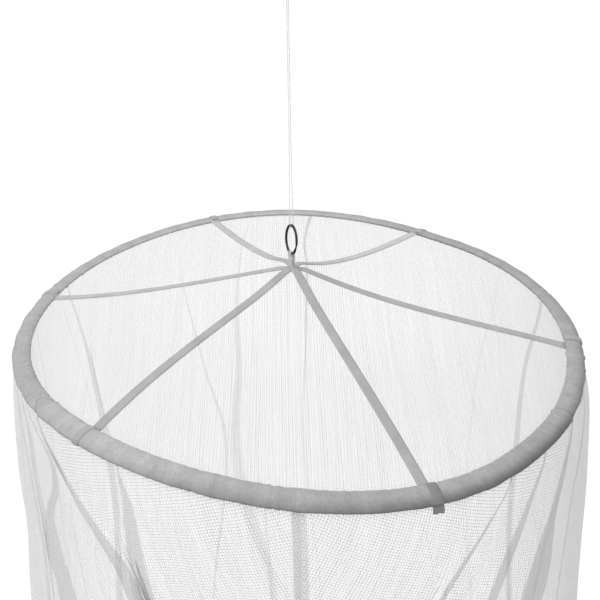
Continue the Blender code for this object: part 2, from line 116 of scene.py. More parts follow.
def addSky():
    world = bpy.data.worlds.new("studio")
    world.use_nodes = True
    tree = world.node_tree
    tree.nodes.clear()
    kinds = {
        "coordinates": "ShaderNodeTexCoord",
        "split": "ShaderNodeSeparateXYZ",
        "shift": "ShaderNodeMapRange",
        "ramp": "ShaderNodeValToRGB",
        "soft": "ShaderNodeBackground",
        "plain": "ShaderNodeBackground",
        "path": "ShaderNodeLightPath",
        "either": "ShaderNodeMixShader",
        "out": "ShaderNodeOutputWorld",
    }
    nodes = addNodes(tree, kinds)
    setInputs(nodes["shift"], {"From Min": -1, "From Max": 1})
    setInputs(nodes["plain"], {"Color": (1, 1, 1, 1), "Strength": studio["skySeen"]})
    stops = nodes["ramp"].color_ramp.elements
    for place, _ in studio["sky"][1:-1]:
        stops.new(place)
    for stop, (_, level) in zip(stops, studio["sky"]):
        stop.color = (level, level, level, 1.0)
    wires = (
        ("coordinates", "Generated", "split", 0),
        ("split", "Z", "shift", "Value"),
        ("shift", 0, "ramp", 0),
        ("ramp", 0, "soft", "Color"),
        ("path", "Is Camera Ray", "either", 0),
        ("soft", 0, "either", 1),
        ("plain", 0, "either", 2),
        ("either", 0, "out", 0),
    )
    addWires(tree, nodes, wires)
    bpy.context.scene.world = world


def addKeyLight():
    light = bpy.data.lights.new("key", "AREA")
    light.energy = studio["keyPower"]
    light.size = studio["keySize"]
    key = newObject("key", light)
    key.location = studio["keyPlace"]
    aim = Matrix.Translation(hoopMiddle.tolist()).to_translation() - key.location
    key.rotation_euler = aim.to_track_quat("-Z", "Y").to_euler()


def addFloor():
    paper = bpy.data.materials.new("pale_floor")
    paper.use_nodes = True
    grey = studio["floorGrey"]
    look = {
        "Base Color": (grey, grey, grey, 1),
        "Roughness": 1.0,
        "Specular IOR Level": 0.0,
        "Emission Color": (1, 1, 1, 1),
        "Emission Strength": studio["floorGlow"],
    }
    setInputs(paper.node_tree.nodes["Principled BSDF"], look)
    reach = studio["floorReach"]
    corners = [(-reach, -reach), (reach, -reach), (reach, reach), (-reach, reach)]
    mesh = bpy.data.meshes.new("floor")
    mesh.from_pydata([(x, y, studio["floorHeight"]) for x, y in corners], [], [(0, 1, 2, 3)])
    mesh.materials.append(paper)
    floor = newObject("floor", mesh)
    # The floor shows behind the cloth but throws no light on it
    floor.visible_diffuse = False
    floor.visible_glossy = False


def addStudio():
    addSky()
    addKeyLight()
    addFloor()
    bpy.context.scene.view_settings.view_transform = "Standard"
    bpy.context.scene.cycles.transparent_max_bounces = studio["netLayers"]


class NodeKit:
    # Short calls for building one material's nodes

    def __init__(self, name, colour, roughness, metallic=0.0):
        self.material = bpy.data.materials.new(name)
        self.material.use_nodes = True
        self.nodes = self.material.node_tree.nodes
        self.links = self.material.node_tree.links
        self.shader = self.nodes["Principled BSDF"]
        self.shader.inputs["Base Color"].default_value = (*colour, 1.0)
        self.shader.inputs["Roughness"].default_value = roughness
        self.shader.inputs["Metallic"].default_value = metallic

    def feed(self, node, inputs):
        for name, value in inputs.items():
            socket = node.inputs[name]
            if isinstance(value, bpy.types.NodeSocket):
                self.links.new(value, socket)
            else:
                socket.default_value = value
        return node

    def maths(self, kind, *values):
        node = self.nodes.new("ShaderNodeMath")
        node.operation = kind
        return self.feed(node, dict(enumerate(values))).outputs[0]

    def span(self, value, low, high, start, end, smooth=False):
        node = self.nodes.new("ShaderNodeMapRange")
        node.interpolation_type = "SMOOTHSTEP" if smooth else "LINEAR"
        inputs = {"Value": value, "From Min": low, "From Max": high, "To Min": start, "To Max": end}
        return self.feed(node, inputs).outputs[0]

    def clothPlace(self):
        # The cloth's own place in metres: along the thread rows and down them
        uv = self.nodes.new("ShaderNodeUVMap")
        uv.uv_map = "cloth"
        split = self.nodes.new("ShaderNodeSeparateXYZ")
        self.links.new(uv.outputs[0], split.inputs[0])
        return split.outputs["X"], split.outputs["Y"], uv.outputs[0]

    def objectPlace(self):
        return self.nodes.new("ShaderNodeTexCoord").outputs["Object"]

    def noise(self, vector, scale, detail=2.0, roughness=0.5):
        node = self.nodes.new("ShaderNodeTexNoise")
        self.feed(node, {"Vector": vector, "Scale": scale, "Detail": detail, "Roughness": roughness})
        return node.outputs[0]

    def stretched(self, vector, scale):
        node = self.nodes.new("ShaderNodeVectorMath")
        node.operation = "MULTIPLY"
        return self.feed(node, {0: vector, 1: scale}).outputs[0]

    def attribute(self, name):
        node = self.nodes.new("ShaderNodeAttribute")
        node.attribute_name = name
        return node.outputs["Fac"]

    def tint(self, value, dark, light):
        node = self.nodes.new("ShaderNodeMix")
        node.data_type = "RGBA"
        factor, first, second, mixed = 0, 6, 7, 2  # its colour sockets
        self.links.new(value, node.inputs[factor])
        node.inputs[first].default_value = (*dark, 1.0)
        node.inputs[second].default_value = (*light, 1.0)
        return node.outputs[mixed]

    def colour(self, value):
        self.links.new(value, self.shader.inputs["Base Color"])

    def roughness(self, value, low, high, start, end):
        self.links.new(self.span(value, low, high, start, end), self.shader.inputs["Roughness"])

    def toned(self, colour):
        # The colour is made paler or deeper from place to place by the mesh's tone, which holds painted light
        # and shade besides random tone
        node = self.nodes.new("ShaderNodeVectorMath")
        node.operation = "SCALE"
        self.feed(node, {0: colour, "Scale": self.attribute("tone")})
        self.colour(node.outputs[0])

    def bump(self, height, strength, distance):
        node = self.nodes.new("ShaderNodeBump")
        self.feed(node, {"Height": height, "Strength": strength, "Distance": distance})
        self.links.new(node.outputs[0], self.shader.inputs["Normal"])


netWeave = {
    "wallPitch": (0.0026, 0.0028),  # across, down
    "roofPitch": (0.0029, 0.0024),
    "threadCore": 0.010,  # half widths as shares of the pitch
    "threadEdge": 0.044,
    "waver": 0.0003,
    "waverScale": 60.0,
    "uneven": (310.0, 3.0, 1.0),
    "unevenSpan": (0.3, 0.7),
    "unevenBody": 0.5,
    "cloud": (18.0, 3.0),  # every noise: scale, detail, roughness
    "dark": (0.66, 0.66, 0.66),
    "light": (0.78, 0.78, 0.78),
    "roughness": 0.85,
}


def makeNet(name, pitch):
    kit = NodeKit(name, netWeave["light"], netWeave["roughness"])
    across, down, place = kit.clothPlace()
    waver = kit.maths("SUBTRACT", kit.noise(place, netWeave["waverScale"]), 0.5)
    waver = kit.maths("MULTIPLY", waver, netWeave["waver"])
    # The columns of the weave aren't all drawn up alike
    uneven = kit.noise(kit.stretched(place, netWeave["uneven"]), 1.0)
    most = netWeave["unevenBody"]
    uneven = kit.span(uneven, *netWeave["unevenSpan"], -most, most)
    body = kit.maths("ADD", kit.attribute("body"), uneven)
    core = kit.maths("MULTIPLY", body, netWeave["threadCore"])
    edge = kit.maths("MULTIPLY", body, netWeave["threadEdge"])
    threads = []
    for value, size in ((across, pitch[0]), (down, pitch[1])):
        count = kit.maths("DIVIDE", kit.maths("ADD", value, waver), size)
        distance = kit.maths("PINGPONG", count, 0.5)
        threads.append(kit.span(distance, core, edge, 1.0, 0.0, smooth=True))
    thread = kit.maths("MAXIMUM", *threads)
    veil = kit.attribute("veil")
    clear = kit.maths("MULTIPLY", kit.maths("SUBTRACT", 1.0, thread), kit.maths("SUBTRACT", 1.0, veil))
    kit.links.new(kit.maths("SUBTRACT", 1.0, clear), kit.shader.inputs["Alpha"])
    cloud = kit.noise(kit.objectPlace(), *netWeave["cloud"])
    kit.colour(kit.tint(cloud, netWeave["dark"], netWeave["light"]))
    return kit.material


sleeveWeave = {
    "pitches": (0.00075, 0.0009),  # around, along
    "streaks": (900.0, 160.0, 1.0),
    "streak": (1.0, 3.0, 0.6),
    "cloud": (70.0, 5.0, 0.7),
    "fuzz": (520.0, 3.0, 0.7),
    "shares": (0.35, 0.35, 0.30),  # of streaks, clouds and fuzz in its shade
    "contrast": (0.34, 0.66),
    "plain": (0.72, 0.72, 0.72),
    "dark": (0.47, 0.47, 0.47),
    "light": (0.71, 0.71, 0.71),
    "roughness": 0.9,
    "relief": (0.4, 0.00025),  # strength, metres
    "fuzzRelief": 2.0,
}


def makeSleeveCloth():
    kit = NodeKit("sleeve_weave", sleeveWeave["plain"], sleeveWeave["roughness"])
    around, along, place = kit.clothPlace()
    ribs = []
    for value, pitch in zip((around, along), sleeveWeave["pitches"]):
        ribs.append(kit.maths("PINGPONG", kit.maths("DIVIDE", value, pitch), 0.5))
    weave = kit.maths("ADD", *ribs)
    streak = kit.noise(kit.stretched(place, sleeveWeave["streaks"]), *sleeveWeave["streak"])
    cloud = kit.noise(kit.objectPlace(), *sleeveWeave["cloud"])
    fuzz = kit.noise(kit.objectPlace(), *sleeveWeave["fuzz"])
    noises = zip((streak, cloud, fuzz), sleeveWeave["shares"])
    parts = [kit.maths("MULTIPLY", noise, share) for noise, share in noises]
    shade = kit.maths("ADD", kit.maths("ADD", parts[0], parts[1]), parts[2])
    shade = kit.span(shade, *sleeveWeave["contrast"], 0.0, 1.0)
    kit.toned(kit.tint(shade, sleeveWeave["dark"], sleeveWeave["light"]))
    fuzz = kit.maths("MULTIPLY", fuzz, sleeveWeave["fuzzRelief"])
    kit.bump(kit.maths("ADD", weave, fuzz), *sleeveWeave["relief"])
    return kit.material


tapeWeave = {
    "ribPitch": 0.0009,
    "pickPitch": 0.0006,
    "cloud": (90.0, 4.0, 0.6),
    "weaveShare": 0.35,
    "contrast": (0.3, 0.75),
    "roughness": 0.88,
    "relief": (0.5, 0.0002),
    "shades": {  # dark, light
        "tape_weave": (0.54, 0.68),
        # a paler copy of the tape cloth for the side tape: painted light
        "side_tape_painted_light": (0.60, 0.76),
        # a darker copy of the tape cloth for the turned end with the tail: painted shade
        "tape_end_painted_shade": (0.32, 0.47),
    },
}


def makeTapeCloth(name):
    dark, light = ((shade, shade, shade) for shade in tapeWeave["shades"][name])
    kit = NodeKit(name, light, tapeWeave["roughness"])
    along, across, _ = kit.clothPlace()
    rib = kit.maths("PINGPONG", kit.maths("DIVIDE", across, tapeWeave["ribPitch"]), 0.5)
    pick = kit.maths("PINGPONG", kit.maths("DIVIDE", along, tapeWeave["pickPitch"]), 0.5)
    weave = kit.maths("ADD", rib, pick)
    cloud = kit.noise(kit.objectPlace(), *tapeWeave["cloud"])
    weaveShare = tapeWeave["weaveShare"]
    shade = kit.maths("MULTIPLY", weave, weaveShare)
    shade = kit.maths("ADD", shade, kit.maths("MULTIPLY", cloud, 1 - weaveShare))
    kit.toned(kit.tint(kit.span(shade, *tapeWeave["contrast"], 0.0, 1.0), dark, light))
    kit.bump(weave, *tapeWeave["relief"])
    return kit.material


threadLook = {
    "twistScale": 900.0,
    "plain": (0.74, 0.74, 0.74),
    "dark": (0.6, 0.6, 0.6),
    "light": (0.8, 0.8, 0.8),
    "roughness": 0.7,
}


def makeThread():
    kit = NodeKit("sewing_thread", threadLook["plain"], threadLook["roughness"])
    scale = threadLook["twistScale"]
    twist = kit.noise(kit.stretched(kit.objectPlace(), (scale, scale, scale)), 1.0)
    kit.colour(kit.tint(twist, threadLook["dark"], threadLook["light"]))
    return kit.material


steelLooks = {
    "dark_steel_wire": {"dark": (0.02, 0.02, 0.022), "light": (0.20, 0.20, 0.21), "roughness": (0.22, 0.42)},
    "spring_steel_wire": {"dark": (0.42, 0.42, 0.43), "light": (0.62, 0.62, 0.63), "roughness": (0.25, 0.45)},
}
# Random paler and darker patches in the steel's colour, roughness and relief
steelMottle = {"noise": (420.0, 4.0, 0.6), "span": (0.3, 0.7), "plain": 0.35, "relief": (0.1, 0.0001)}


def makeSteel(name):
    look = steelLooks[name]
    kit = NodeKit(name, look["light"], steelMottle["plain"], 1.0)
    mottle = kit.noise(kit.objectPlace(), *steelMottle["noise"])
    kit.colour(kit.tint(mottle, look["dark"], look["light"]))
    kit.roughness(mottle, *steelMottle["span"], *look["roughness"])
    kit.bump(mottle, *steelMottle["relief"])
    return kit.material


nylon = {
    "colour": (0.97, 0.98, 0.98),
    "clear": 0.75,
    "bend": 1.3,
    "cloudScale": 700.0,
    "cloudSpan": (0.3, 0.7),
    "plain": 0.18,
    "roughness": (0.14, 0.28),
}


def makeClearLine():
    kit = NodeKit("clear_nylon", nylon["colour"], nylon["plain"])
    setInputs(kit.shader, {"Transmission Weight": nylon["clear"], "IOR": nylon["bend"]})
    cloud = kit.noise(kit.objectPlace(), nylon["cloudScale"])
    kit.roughness(cloud, *nylon["cloudSpan"], *nylon["roughness"])
    return kit.material


def addPiece(name, data, material, replaced):
    data.materials.append(material)
    piece = newObject(name, data)
    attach(piece, "root")
    if replaced:
        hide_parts(*replaced)
    return piece


def meshFrom(name, points, faces, faceUvs, attributes=None):
    mesh = bpy.data.meshes.new(name)
    mesh.from_pydata(np.asarray(points, float).tolist(), [], faces)
    mesh.shade_smooth()
    layer = mesh.uv_layers.new(name="cloth")
    layer.data.foreach_set("uv", np.asarray(faceUvs, np.float32).ravel())
    for label, values in (attributes or {}).items():
        stored = mesh.attributes.new(label, "FLOAT", "POINT")
        stored.data.foreach_set("value", np.asarray(values, np.float32).ravel())
    return mesh


def gridFaces(rows, columns, roundRows, roundColumns, flip=False):
    # Quads of a grid of points, and the grid places that their corners have
    r, c = np.meshgrid(
        np.arange(rows if roundRows else rows - 1),
        np.arange(columns if roundColumns else columns - 1),
        indexing="ij",
    )
    r, c = r.ravel(), c.ravel()
    corners = [(r, c), (r, c + 1), (r + 1, c + 1), (r + 1, c)]
    if flip:
        corners.reverse()
    places = np.stack([np.stack(corner, -1) for corner in corners], 1)
    faces = places[..., 0] % rows * columns + places[..., 1] % columns
    return faces, places


def gridUv(points, roundRows, roundColumns):
    # Metres along the rows and along the columns of a grid, with one more row and column to close it
    closed = np.concatenate([points, points[:1]]) if roundRows else points
    closed = np.concatenate([closed, closed[:, :1]], 1) if roundColumns else closed
    down = np.linalg.norm(np.diff(closed, axis=0), axis=2).mean(1)
    across = np.linalg.norm(np.diff(closed, axis=1), axis=2).mean(0)
    u, v = (np.concatenate([[0], np.cumsum(steps)]) for steps in (down, across))
    return np.stack(np.meshgrid(u, v, indexing="ij"), -1)


def gridMesh(name, points, roundRows=False, roundColumns=False, capped=False, tone=None):
    rows, columns = points.shape[:2]
    attributes = {"tone": np.ones((rows, columns)) if tone is None else tone}
    faces, places = gridFaces(rows, columns, roundRows, roundColumns)
    uv = gridUv(points, roundRows, roundColumns)[places[..., 0], places[..., 1]]
    faces, uv = faces.tolist(), uv.reshape(-1, 2)
    if capped:
        for ring in (range(columns), range((rows - 1) * columns, rows * columns)):
            faces.append(list(ring))
            uv = np.concatenate([uv, np.zeros((columns, 2))])
    return meshFrom(name, points.reshape(-1, 3), faces, uv, attributes)


def smoothStep(value):
    value = np.clip(value, 0.0, 1.0)
    return value * value * (3 - 2 * value)


def tableValue(places, values, at):
    # A smooth curve through a table's rows, level at both ends
    places, values = np.asarray(places, float), np.asarray(values, float)
    slopes = np.gradient(values, places)
    slopes[0] = slopes[-1] = 0
    k = np.clip(np.searchsorted(places, at, side="right") - 1, 0, len(places) - 2)
    width = places[k + 1] - places[k]
    share = np.clip((at - places[k]) / width, 0, 1)
    low, high = values[k], values[k + 1]
    bend = (share**3 - 2 * share**2 + share) * slopes[k] + (share**3 - share**2) * slopes[k + 1]
    return low + (high - low) * (3 * share**2 - 2 * share**3) + bend * width


def degreesApart(place, other):
    return (place - other + 180) % 360 - 180


def unit(vectors):
    return vectors / np.linalg.norm(vectors, axis=1, keepdims=True)


def bothFaces(rows, half):
    # A strip's front and then its back, as one closed row after another
    return np.concatenate([rows + half, (rows - half)[:, ::-1]], 1)


def pathLength(path):
    # How far along the path each of its points lies
    return np.concatenate([[0], np.cumsum(np.linalg.norm(np.diff(path, axis=0), axis=1))])


def ripple(place, wavelength, count, spread=0.35):
    # A sum of a few waves about this long, never quite repeating
    total = np.zeros_like(np.asarray(place, float))
    for _ in range(count):
        size = wavelength * (1 + spread * (chance.random() * 2 - 1))
        total += np.sin(2 * math.pi * (place / size + chance.random())) * (0.6 + 0.4 * chance.random())
    return total / math.sqrt(count)


# The hoop is out of round and out of flat: degrees, radius mm, lift mm
hoopShape = np.array(
    [
        (0, 310, -13),
        (15, 300, -7),
        (30, 287, -3),
        (45, 279, -3),
        (60, 284, -5),
        (75, 297, -8),
        (90, 311, -10),
        (105, 316, -10),
        (120, 310, -6),
        (135, 302, -1),
        (150, 298, 4),
        (165, 299, 7),
        (180, 302, 8),
        (195, 301, 10),
        (210, 296, 14),
        (225, 291, 20),
        (240, 292, 25),
        (255, 297, 25),
        (270, 302, 18),
        (285, 303, 5),
        (300, 302, -9),
        (315, 302, -18),
        (330, 307, -22),
        (345, 311, -19),
    ],
    float,
)
sleeve = {
    "halfWidth": 0.0100,
    "halfHeight": 0.0040,
    "dip": math.radians(12),
    "seamReach": 0.0064,
    "seamHalfGap": 0.0011,
    "flap": 0.0022,
    "stations": 1080,
    "around": 30,
    "wrinkle": 0.00026,
    "wrinkleWave": 0.011,
    "wrinkleSwell": 0.13,
    "wrinkleLeast": 0.4,
    "softDent": 0.00050,
    "dentWave": 0.045,
    "dentTurn": 0.6,
    "puckerTurns": 3.2,
    "flapParts": (0.35, 1.0),
    "flapStep": 0.0004,
    "flapWave": 0.006,
    "flapWaver": 0.25,
    "collarStep": 0.00045,
    "collarSharp": 0.12,  # degrees that the step takes
    "collarLip": (0.00055, 0.30, 0.22),  # height, degrees past the lapped end, spread degrees
    "collarGroove": (0.00044, -0.22, 0.20),
    "collarSpan": 1.2,  # degrees of closer stations beside each lapped end
    "seamBand": (268.6, 270.5, 0.00025),  # degrees from and to, lift
    "flatGirth": 0.0500,
    "flatRadius": 0.301,
}
# The front length of the sleeve laps over the rest at both its ends: degrees of its edge on top,
# and how many degrees further on the edge lies at the sleeve's two sides
collars = ((213.6, 2.9), (328.3, -0.5))


def roundValue(column, degrees):
    count = len(hoopShape)
    place = np.asarray(degrees) % 360 / 360 * count
    first = np.floor(place).astype(int)
    share = place - first
    a, b, c, d = (hoopShape[(first + k - 1) % count, column] for k in range(4))
    bend = (2 * a - 5 * b + 4 * c - d) * share**2 + (3 * b - a - 3 * c + d) * share**3
    return 0.5 * (2 * b + (c - a) * share + bend)


def hoopPoint(degrees, reach, rise):
    # Beside the hoop's line: reach along the sleeve's width, rise square to it
    degrees = np.asarray(degrees, float)
    angle = np.radians(degrees)
    dipAcross, dipDown = math.cos(sleeve["dip"]), math.sin(sleeve["dip"])
    outward = roundValue(1, degrees) / 1000 + reach * dipAcross + rise * dipDown
    height = roundValue(2, degrees) / 1000 - reach * dipDown + rise * dipAcross
    return np.stack([outward * np.cos(angle), outward * np.sin(angle), height + 0 * outward], -1)


# Places where the sleeve is drawn in or puckered: degrees, spread degrees, depth mm
sleevePuckers = np.array(
    [
        (8.9, 1.2, 0.9),
        (352.0, 1.6, 0.15),
        (347.0, 1.2, -0.9),
        (343.0, 1.0, -0.8),
        (334.5, 0.8, 0.4),
        (323.0, 0.8, 0.3),
        (320.0, 0.6, 0.5),
        (292.3, 1.2, 0.15),
        (265.6, 0.8, 0.5),
        (253.2, 0.8, 0.4),
        (229.0, 1.4, 0.15),
        (218.5, 1.2, 0.3),
        (174.4, 1.0, 0.7),
        (165.0, 1.2, -0.9),
        (158.0, 0.9, -1.0),
        (112.0, 1.2, 0.2),
        (50.0, 1.2, 0.2),
    ]
)


def sleeveStations():
    # Degrees round the hoop, closer together where the sleeve's lengths lap
    even = np.arange(sleeve["stations"]) * 360 / sleeve["stations"]
    span = sleeve["collarSpan"]
    close = [np.linspace(edge - span, edge + span + abs(trail), 50) for edge, trail in collars]
    edges = [edge + step for edge in sleeve["seamBand"][:2] for step in (-0.08, 0.08)]
    return np.unique(np.concatenate([even, edges] + close).round(3))


def collarPasts(degrees, turn):
    # How many degrees past each end of the lapping length every place lies
    side = np.cos(turn) ** 2
    (first, firstTrail), (last, lastTrail) = collars
    start = degrees[:, None] - (first + firstTrail * side)[None, :]
    end = (last + lastTrail * side)[None, :] - degrees[:, None]
    return start, end


def bell(past, place, spread):
    return np.exp(-(((past - place) / spread) ** 2))


def collarPush(degrees, turn):
    # The lapping length stands proud of the rest, with a rolled lip and a groove beside it
    start, end = collarPasts(degrees, turn)
    sharp = sleeve["collarSharp"]
    push = sleeve["collarStep"] * smoothStep(start / sharp + 0.5) * smoothStep(end / sharp + 0.5)
    for past in (start, end):
        for (size, place, spread), way in ((sleeve["collarLip"], 1), (sleeve["collarGroove"], -1)):
            push += way * size * bell(past, place, spread)
    low, high, lift = sleeve["seamBand"]
    band = (degrees >= low) & (degrees <= high)
    return push + lift * band[:, None]


def sleeveTurn(count):
    # The angles round the sleeve's section, from the lower lip of its seam to the upper one
    gap, reach = sleeve["seamHalfGap"], sleeve["seamReach"]
    outer = -math.acos((reach + gap) / sleeve["halfWidth"])
    inner = 2 * math.pi - math.acos((reach - gap) / sleeve["halfWidth"])
    share = np.clip((np.arange(count) - 2) / (count - 5), 0, 1)
    return outer + (inner - outer) * share


def sleevePoints(around):
    degrees = sleeveStations()
    stations = len(degrees)
    halfWidth, halfHeight = sleeve["halfWidth"], sleeve["halfHeight"]
    turn = sleeveTurn(around + 4)[2:-2]
    across, up = np.cos(turn) * halfWidth, np.sin(turn) * halfHeight
    metres = degrees / 360 * 2 * math.pi * meanRadius
    # Fine cross wrinkles, each strongest over a part of the way round the sleeve
    push = np.zeros((stations, around))
    least = sleeve["wrinkleLeast"]
    for _ in range(4):
        crest = ripple(metres, sleeve["wrinkleWave"], 3)
        crest = crest * (least + (1 - least) * np.abs(ripple(metres, sleeve["wrinkleSwell"], 2)))
        where = np.cos(turn - chance.random() * 2 * math.pi) * 0.5 + 0.5
        push += sleeve["wrinkle"] * crest[:, None] * where[None, :]
    dents = sleeve["softDent"] * ripple(metres, sleeve["dentWave"], 3)[:, None]
    push += dents * (0.5 + 0.5 * np.sin(turn + sleeve["dentTurn"]))
    for place, spread, depth in sleevePuckers:
        apart = degreesApart(degrees, place)
        pucker = bell(apart, 0, spread) * np.cos(apart / spread * sleeve["puckerTurns"])
        push -= depth / 1000 * pucker[:, None]
    raised = collarPush(degrees, turn)
    across = across[None, :] * (1 + (push + raised) / halfWidth)
    up = up[None, :] * (1 + (0.5 * push + raised) / halfHeight)
    flapDown = np.array(sleeve["flapParts"])[:, None] * sleeve["flap"]
    firstLip = (across[:, :1], up[:, :1])
    lastLip = (across[:, -1:], up[:, -1:])
    waver = 1 + sleeve["flapWaver"] * ripple(metres, sleeve["flapWave"], 2)[:, None]
    step = sleeve["flapStep"]
    before = [(firstLip[0] - step, firstLip[1] - part * waver) for part in flapDown[::-1]]
    after = [(lastLip[0] + step, lastLip[1] - part * waver) for part in flapDown]
    across = np.concatenate([x for x, _ in before] + [across] + [x for x, _ in after], 1)
    up = np.concatenate([z for _, z in before] + [up] + [z for _, z in after], 1)
    return hoopPoint(degrees[:, None] + 0 * across, across, up) + hoopMiddle


# Painted light and shade on the sleeve round the hoop, as scales of its colour: degrees, on top, on its outer
# under side and on its inner under side
sleevePaintedLight = np.array(
    [
        (0, 0.99, 0.84, 1.0),
        (45, 0.94, 0.96, 1.0),
        (75, 1.06, 1.00, 1.3),
        (95, 1.07, 1.00, 1.62),
        (140, 1.08, 1.00, 1.6),
        (180, 1.02, 1.00, 1.2),
        (210, 1.00, 1.00, 1.0),
        (225, 1.16, 1.07, 1.0),
        (240, 1.20, 1.02, 1.0),
        (255, 1.06, 0.84, 1.0),
        (270, 1.02, 0.83, 1.0),
        (285, 1.00, 0.63, 1.0),
        (300, 1.03, 0.52, 1.0),
        (312, 0.93, 0.46, 1.0),
        (326, 0.97, 0.46, 1.0),
        (330, 1.02, 0.66, 1.0),
        (345, 0.98, 0.78, 1.0),
    ]
)


# Where round the sleeve's section its painted shade below and its painted light on the inner under side lie,
# its random patches, and the painted shade and highlight at the lapped ends
shading = {
    "underFrom": 0.42,  # shares of the way round the section, from its seam below and outwards
    "underFull": 0.25,
    "seamFrom": 0.17,
    "seamFull": 0.05,
    "seamPaler": 0.4,
    "innerFrom": 0.5,
    "innerFull": 0.65,
    "patches": ((0.045, 7.0), (0.03, 2.3)),  # size, degrees
    # Painted shade in the groove beside each lapped end, and a painted highlight on its lip
    "groove": (0.50, -0.16, 0.20),  # how much darker, degrees past the lapped end, spread degrees
    "lip": (0.16, 0.3, 0.2),
}


def shadeStep(share, start, full):
    start, full = shading[start], shading[full]
    return smoothStep((share - start) / (full - start))


def sleevePaintedLightAndTone(count):
    degrees = sleeveStations()
    share = np.linspace(0, 1, count)
    # Painted shade on the outer under side, a little less beside the seam
    under = shadeStep(share, "underFrom", "underFull")
    under = under * (1 - shading["seamPaler"] * shadeStep(share, "seamFrom", "seamFull"))
    # Painted light on the inner under side
    within = shadeStep(share, "innerFrom", "innerFull")
    places, *paintedLightLevels = sleevePaintedLight.T
    top, low, inner = (np.interp(degrees, places, values, period=360) for values in paintedLightLevels)
    patch = 1 + sum(size * ripple(degrees, wave, 3) for size, wave in shading["patches"])[:, None]
    # Painted shade darkens the grooves beside the lapped ends, and a painted highlight makes their lips pale
    for past in collarPasts(degrees, sleeveTurn(count)):
        (dark, *groove), (pale, *lip) = shading["groove"], shading["lip"]
        patch = patch * (1 - dark * bell(past, *groove) + pale * bell(past, *lip))
    patch = patch * (1 + (inner - 1)[:, None] * within[None, :])
    # Painted light on top and painted shade on the outer under side, times the patches and the rest of the
    # painted light
    return (top[:, None] * (1 - under)[None, :] + low[:, None] * under[None, :]) * patch


def addSleeve(material):
    points = sleevePoints(sleeve["around"])
    mesh = gridMesh("sleeve_cloth", points, roundRows=True, tone=sleevePaintedLightAndTone(points.shape[1]))
    piece = addPiece("sleeve_cloth", mesh, material, ["hoop_sleeve"])
    return piece


# Where the tapes meet the sleeve: degrees, sag mm at the two sagPlaces
tapeEnds = np.array(
    [
        (51.0, 11, 5),
        (112.5, 8, 4),
        (171.5, 5.5, 4.5),
        (230.0, -4, -5),
        (290.5, -0.5, -2),
        (349.5, 8, 2.5),
    ]
)
roof = {
    "sagPlaces": (0.45, 0.82),  # shares of the run from the crown to the sleeve
    "slack": 0.005,
    "edgeGap": 0.00035,
    "edgeRise": -0.0006,
    "crownShare": 0.048,
    "spokes": 360,
    "rings": 56,
    "creaseDepth": 0.0007,
    "creaseWave": 11.0,  # degrees
    "gatherDepth": 0.0006,
    "gatherWave": 2.4,
    "gatherReach": 0.03,
    "innermost": 0.006,
    "body": 1.15,
    # How much loose threads and folds veil its outer part: degrees, share
    "veilPlaces": (0, 45, 90, 135, 180, 225, 270, 315),
    "veils": (0.09, 0.03, 0.0, 0.03, 0.08, 0.12, 0.08, 0.15),
    "veilFrom": 0.25,
    "veilSpan": 0.55,
    "edgeVeil": 0.10,
    "edgeVeilReach": 0.012,
    "flat": 0.62,
    "flatArea": 0.29,
}
tape = {
    "width": 0.0105,
    "thickness": 0.0007,
    "lift": 0.0009,
    "step": 0.0014,
    "across": 7,
    "along": 70,
    "backPaintedLight": 0.22,
    "backReach": 0.12,
    "patch": 0.04,
    "patchWave": 0.05,
    "tiltRise": 0.0012,
    "tiltEase": (0.12, 0.06),  # shares of its run that it takes to tilt, from the crown and the sleeve
    "stackSpan": 0.2,
    "levelShare": 0.05,
    "leastShare": 0.002,
    "drawnIn": 0.28,
    "drawnShare": 0.06,
    "cockle": 0.00012,
    "cockleWave": 0.011,
}


def roofEdge(degrees):
    return hoopPoint(degrees, -sleeve["halfWidth"] - roof["edgeGap"], roof["edgeRise"])


def betweenEnds(degrees):
    degrees = np.asarray(degrees, float) % 360
    starts = tapeEnds[:, 0]
    after = np.searchsorted(starts, degrees, side="right") % 6
    before = (after - 1) % 6
    share = (degrees - starts[before]) % 360 / ((starts[after] - starts[before]) % 360)
    return before, after, share


def tapeSag(degrees, run):
    before, after, share = betweenEnds(degrees)
    part = smoothStep(share)
    middle = (tapeEnds[before, 1] * (1 - part) + tapeEnds[after, 1] * part) / 1000
    outer = (tapeEnds[before, 2] * (1 - part) + tapeEnds[after, 2] * part) / 1000
    # A cubic through both sags, with none at the crown and at the sleeve
    near, far = roof["sagPlaces"]
    ends = run * (1 - run)
    middlePull = ends * (far - run) / (near * (1 - near) * (far - near))
    outerPull = ends * (run - near) / (far * (1 - far) * (far - near))
    return middle * middlePull + outer * outerPull


def roofRidge(degrees, share):
    edge = roofEdge(degrees)
    run = np.maximum(0.0, (share - roof["crownShare"]) / (1 - roof["crownShare"]))
    height = crownHeight + (edge[..., 2] - crownHeight) * run - tapeSag(degrees, run)
    crown = crownAxis[0] - hoopMiddle[0]
    return np.stack([crown * (1 - share) + edge[..., 0] * share, edge[..., 1] * share, height], -1)


def roofPoint(degrees, share):
    place = betweenEnds(degrees)[2]
    slack = roof["slack"] * np.sin(math.pi * place) ** 2 * np.sin(math.pi * share)
    points = roofRidge(degrees, share)
    points[..., 2] -= slack
    return points


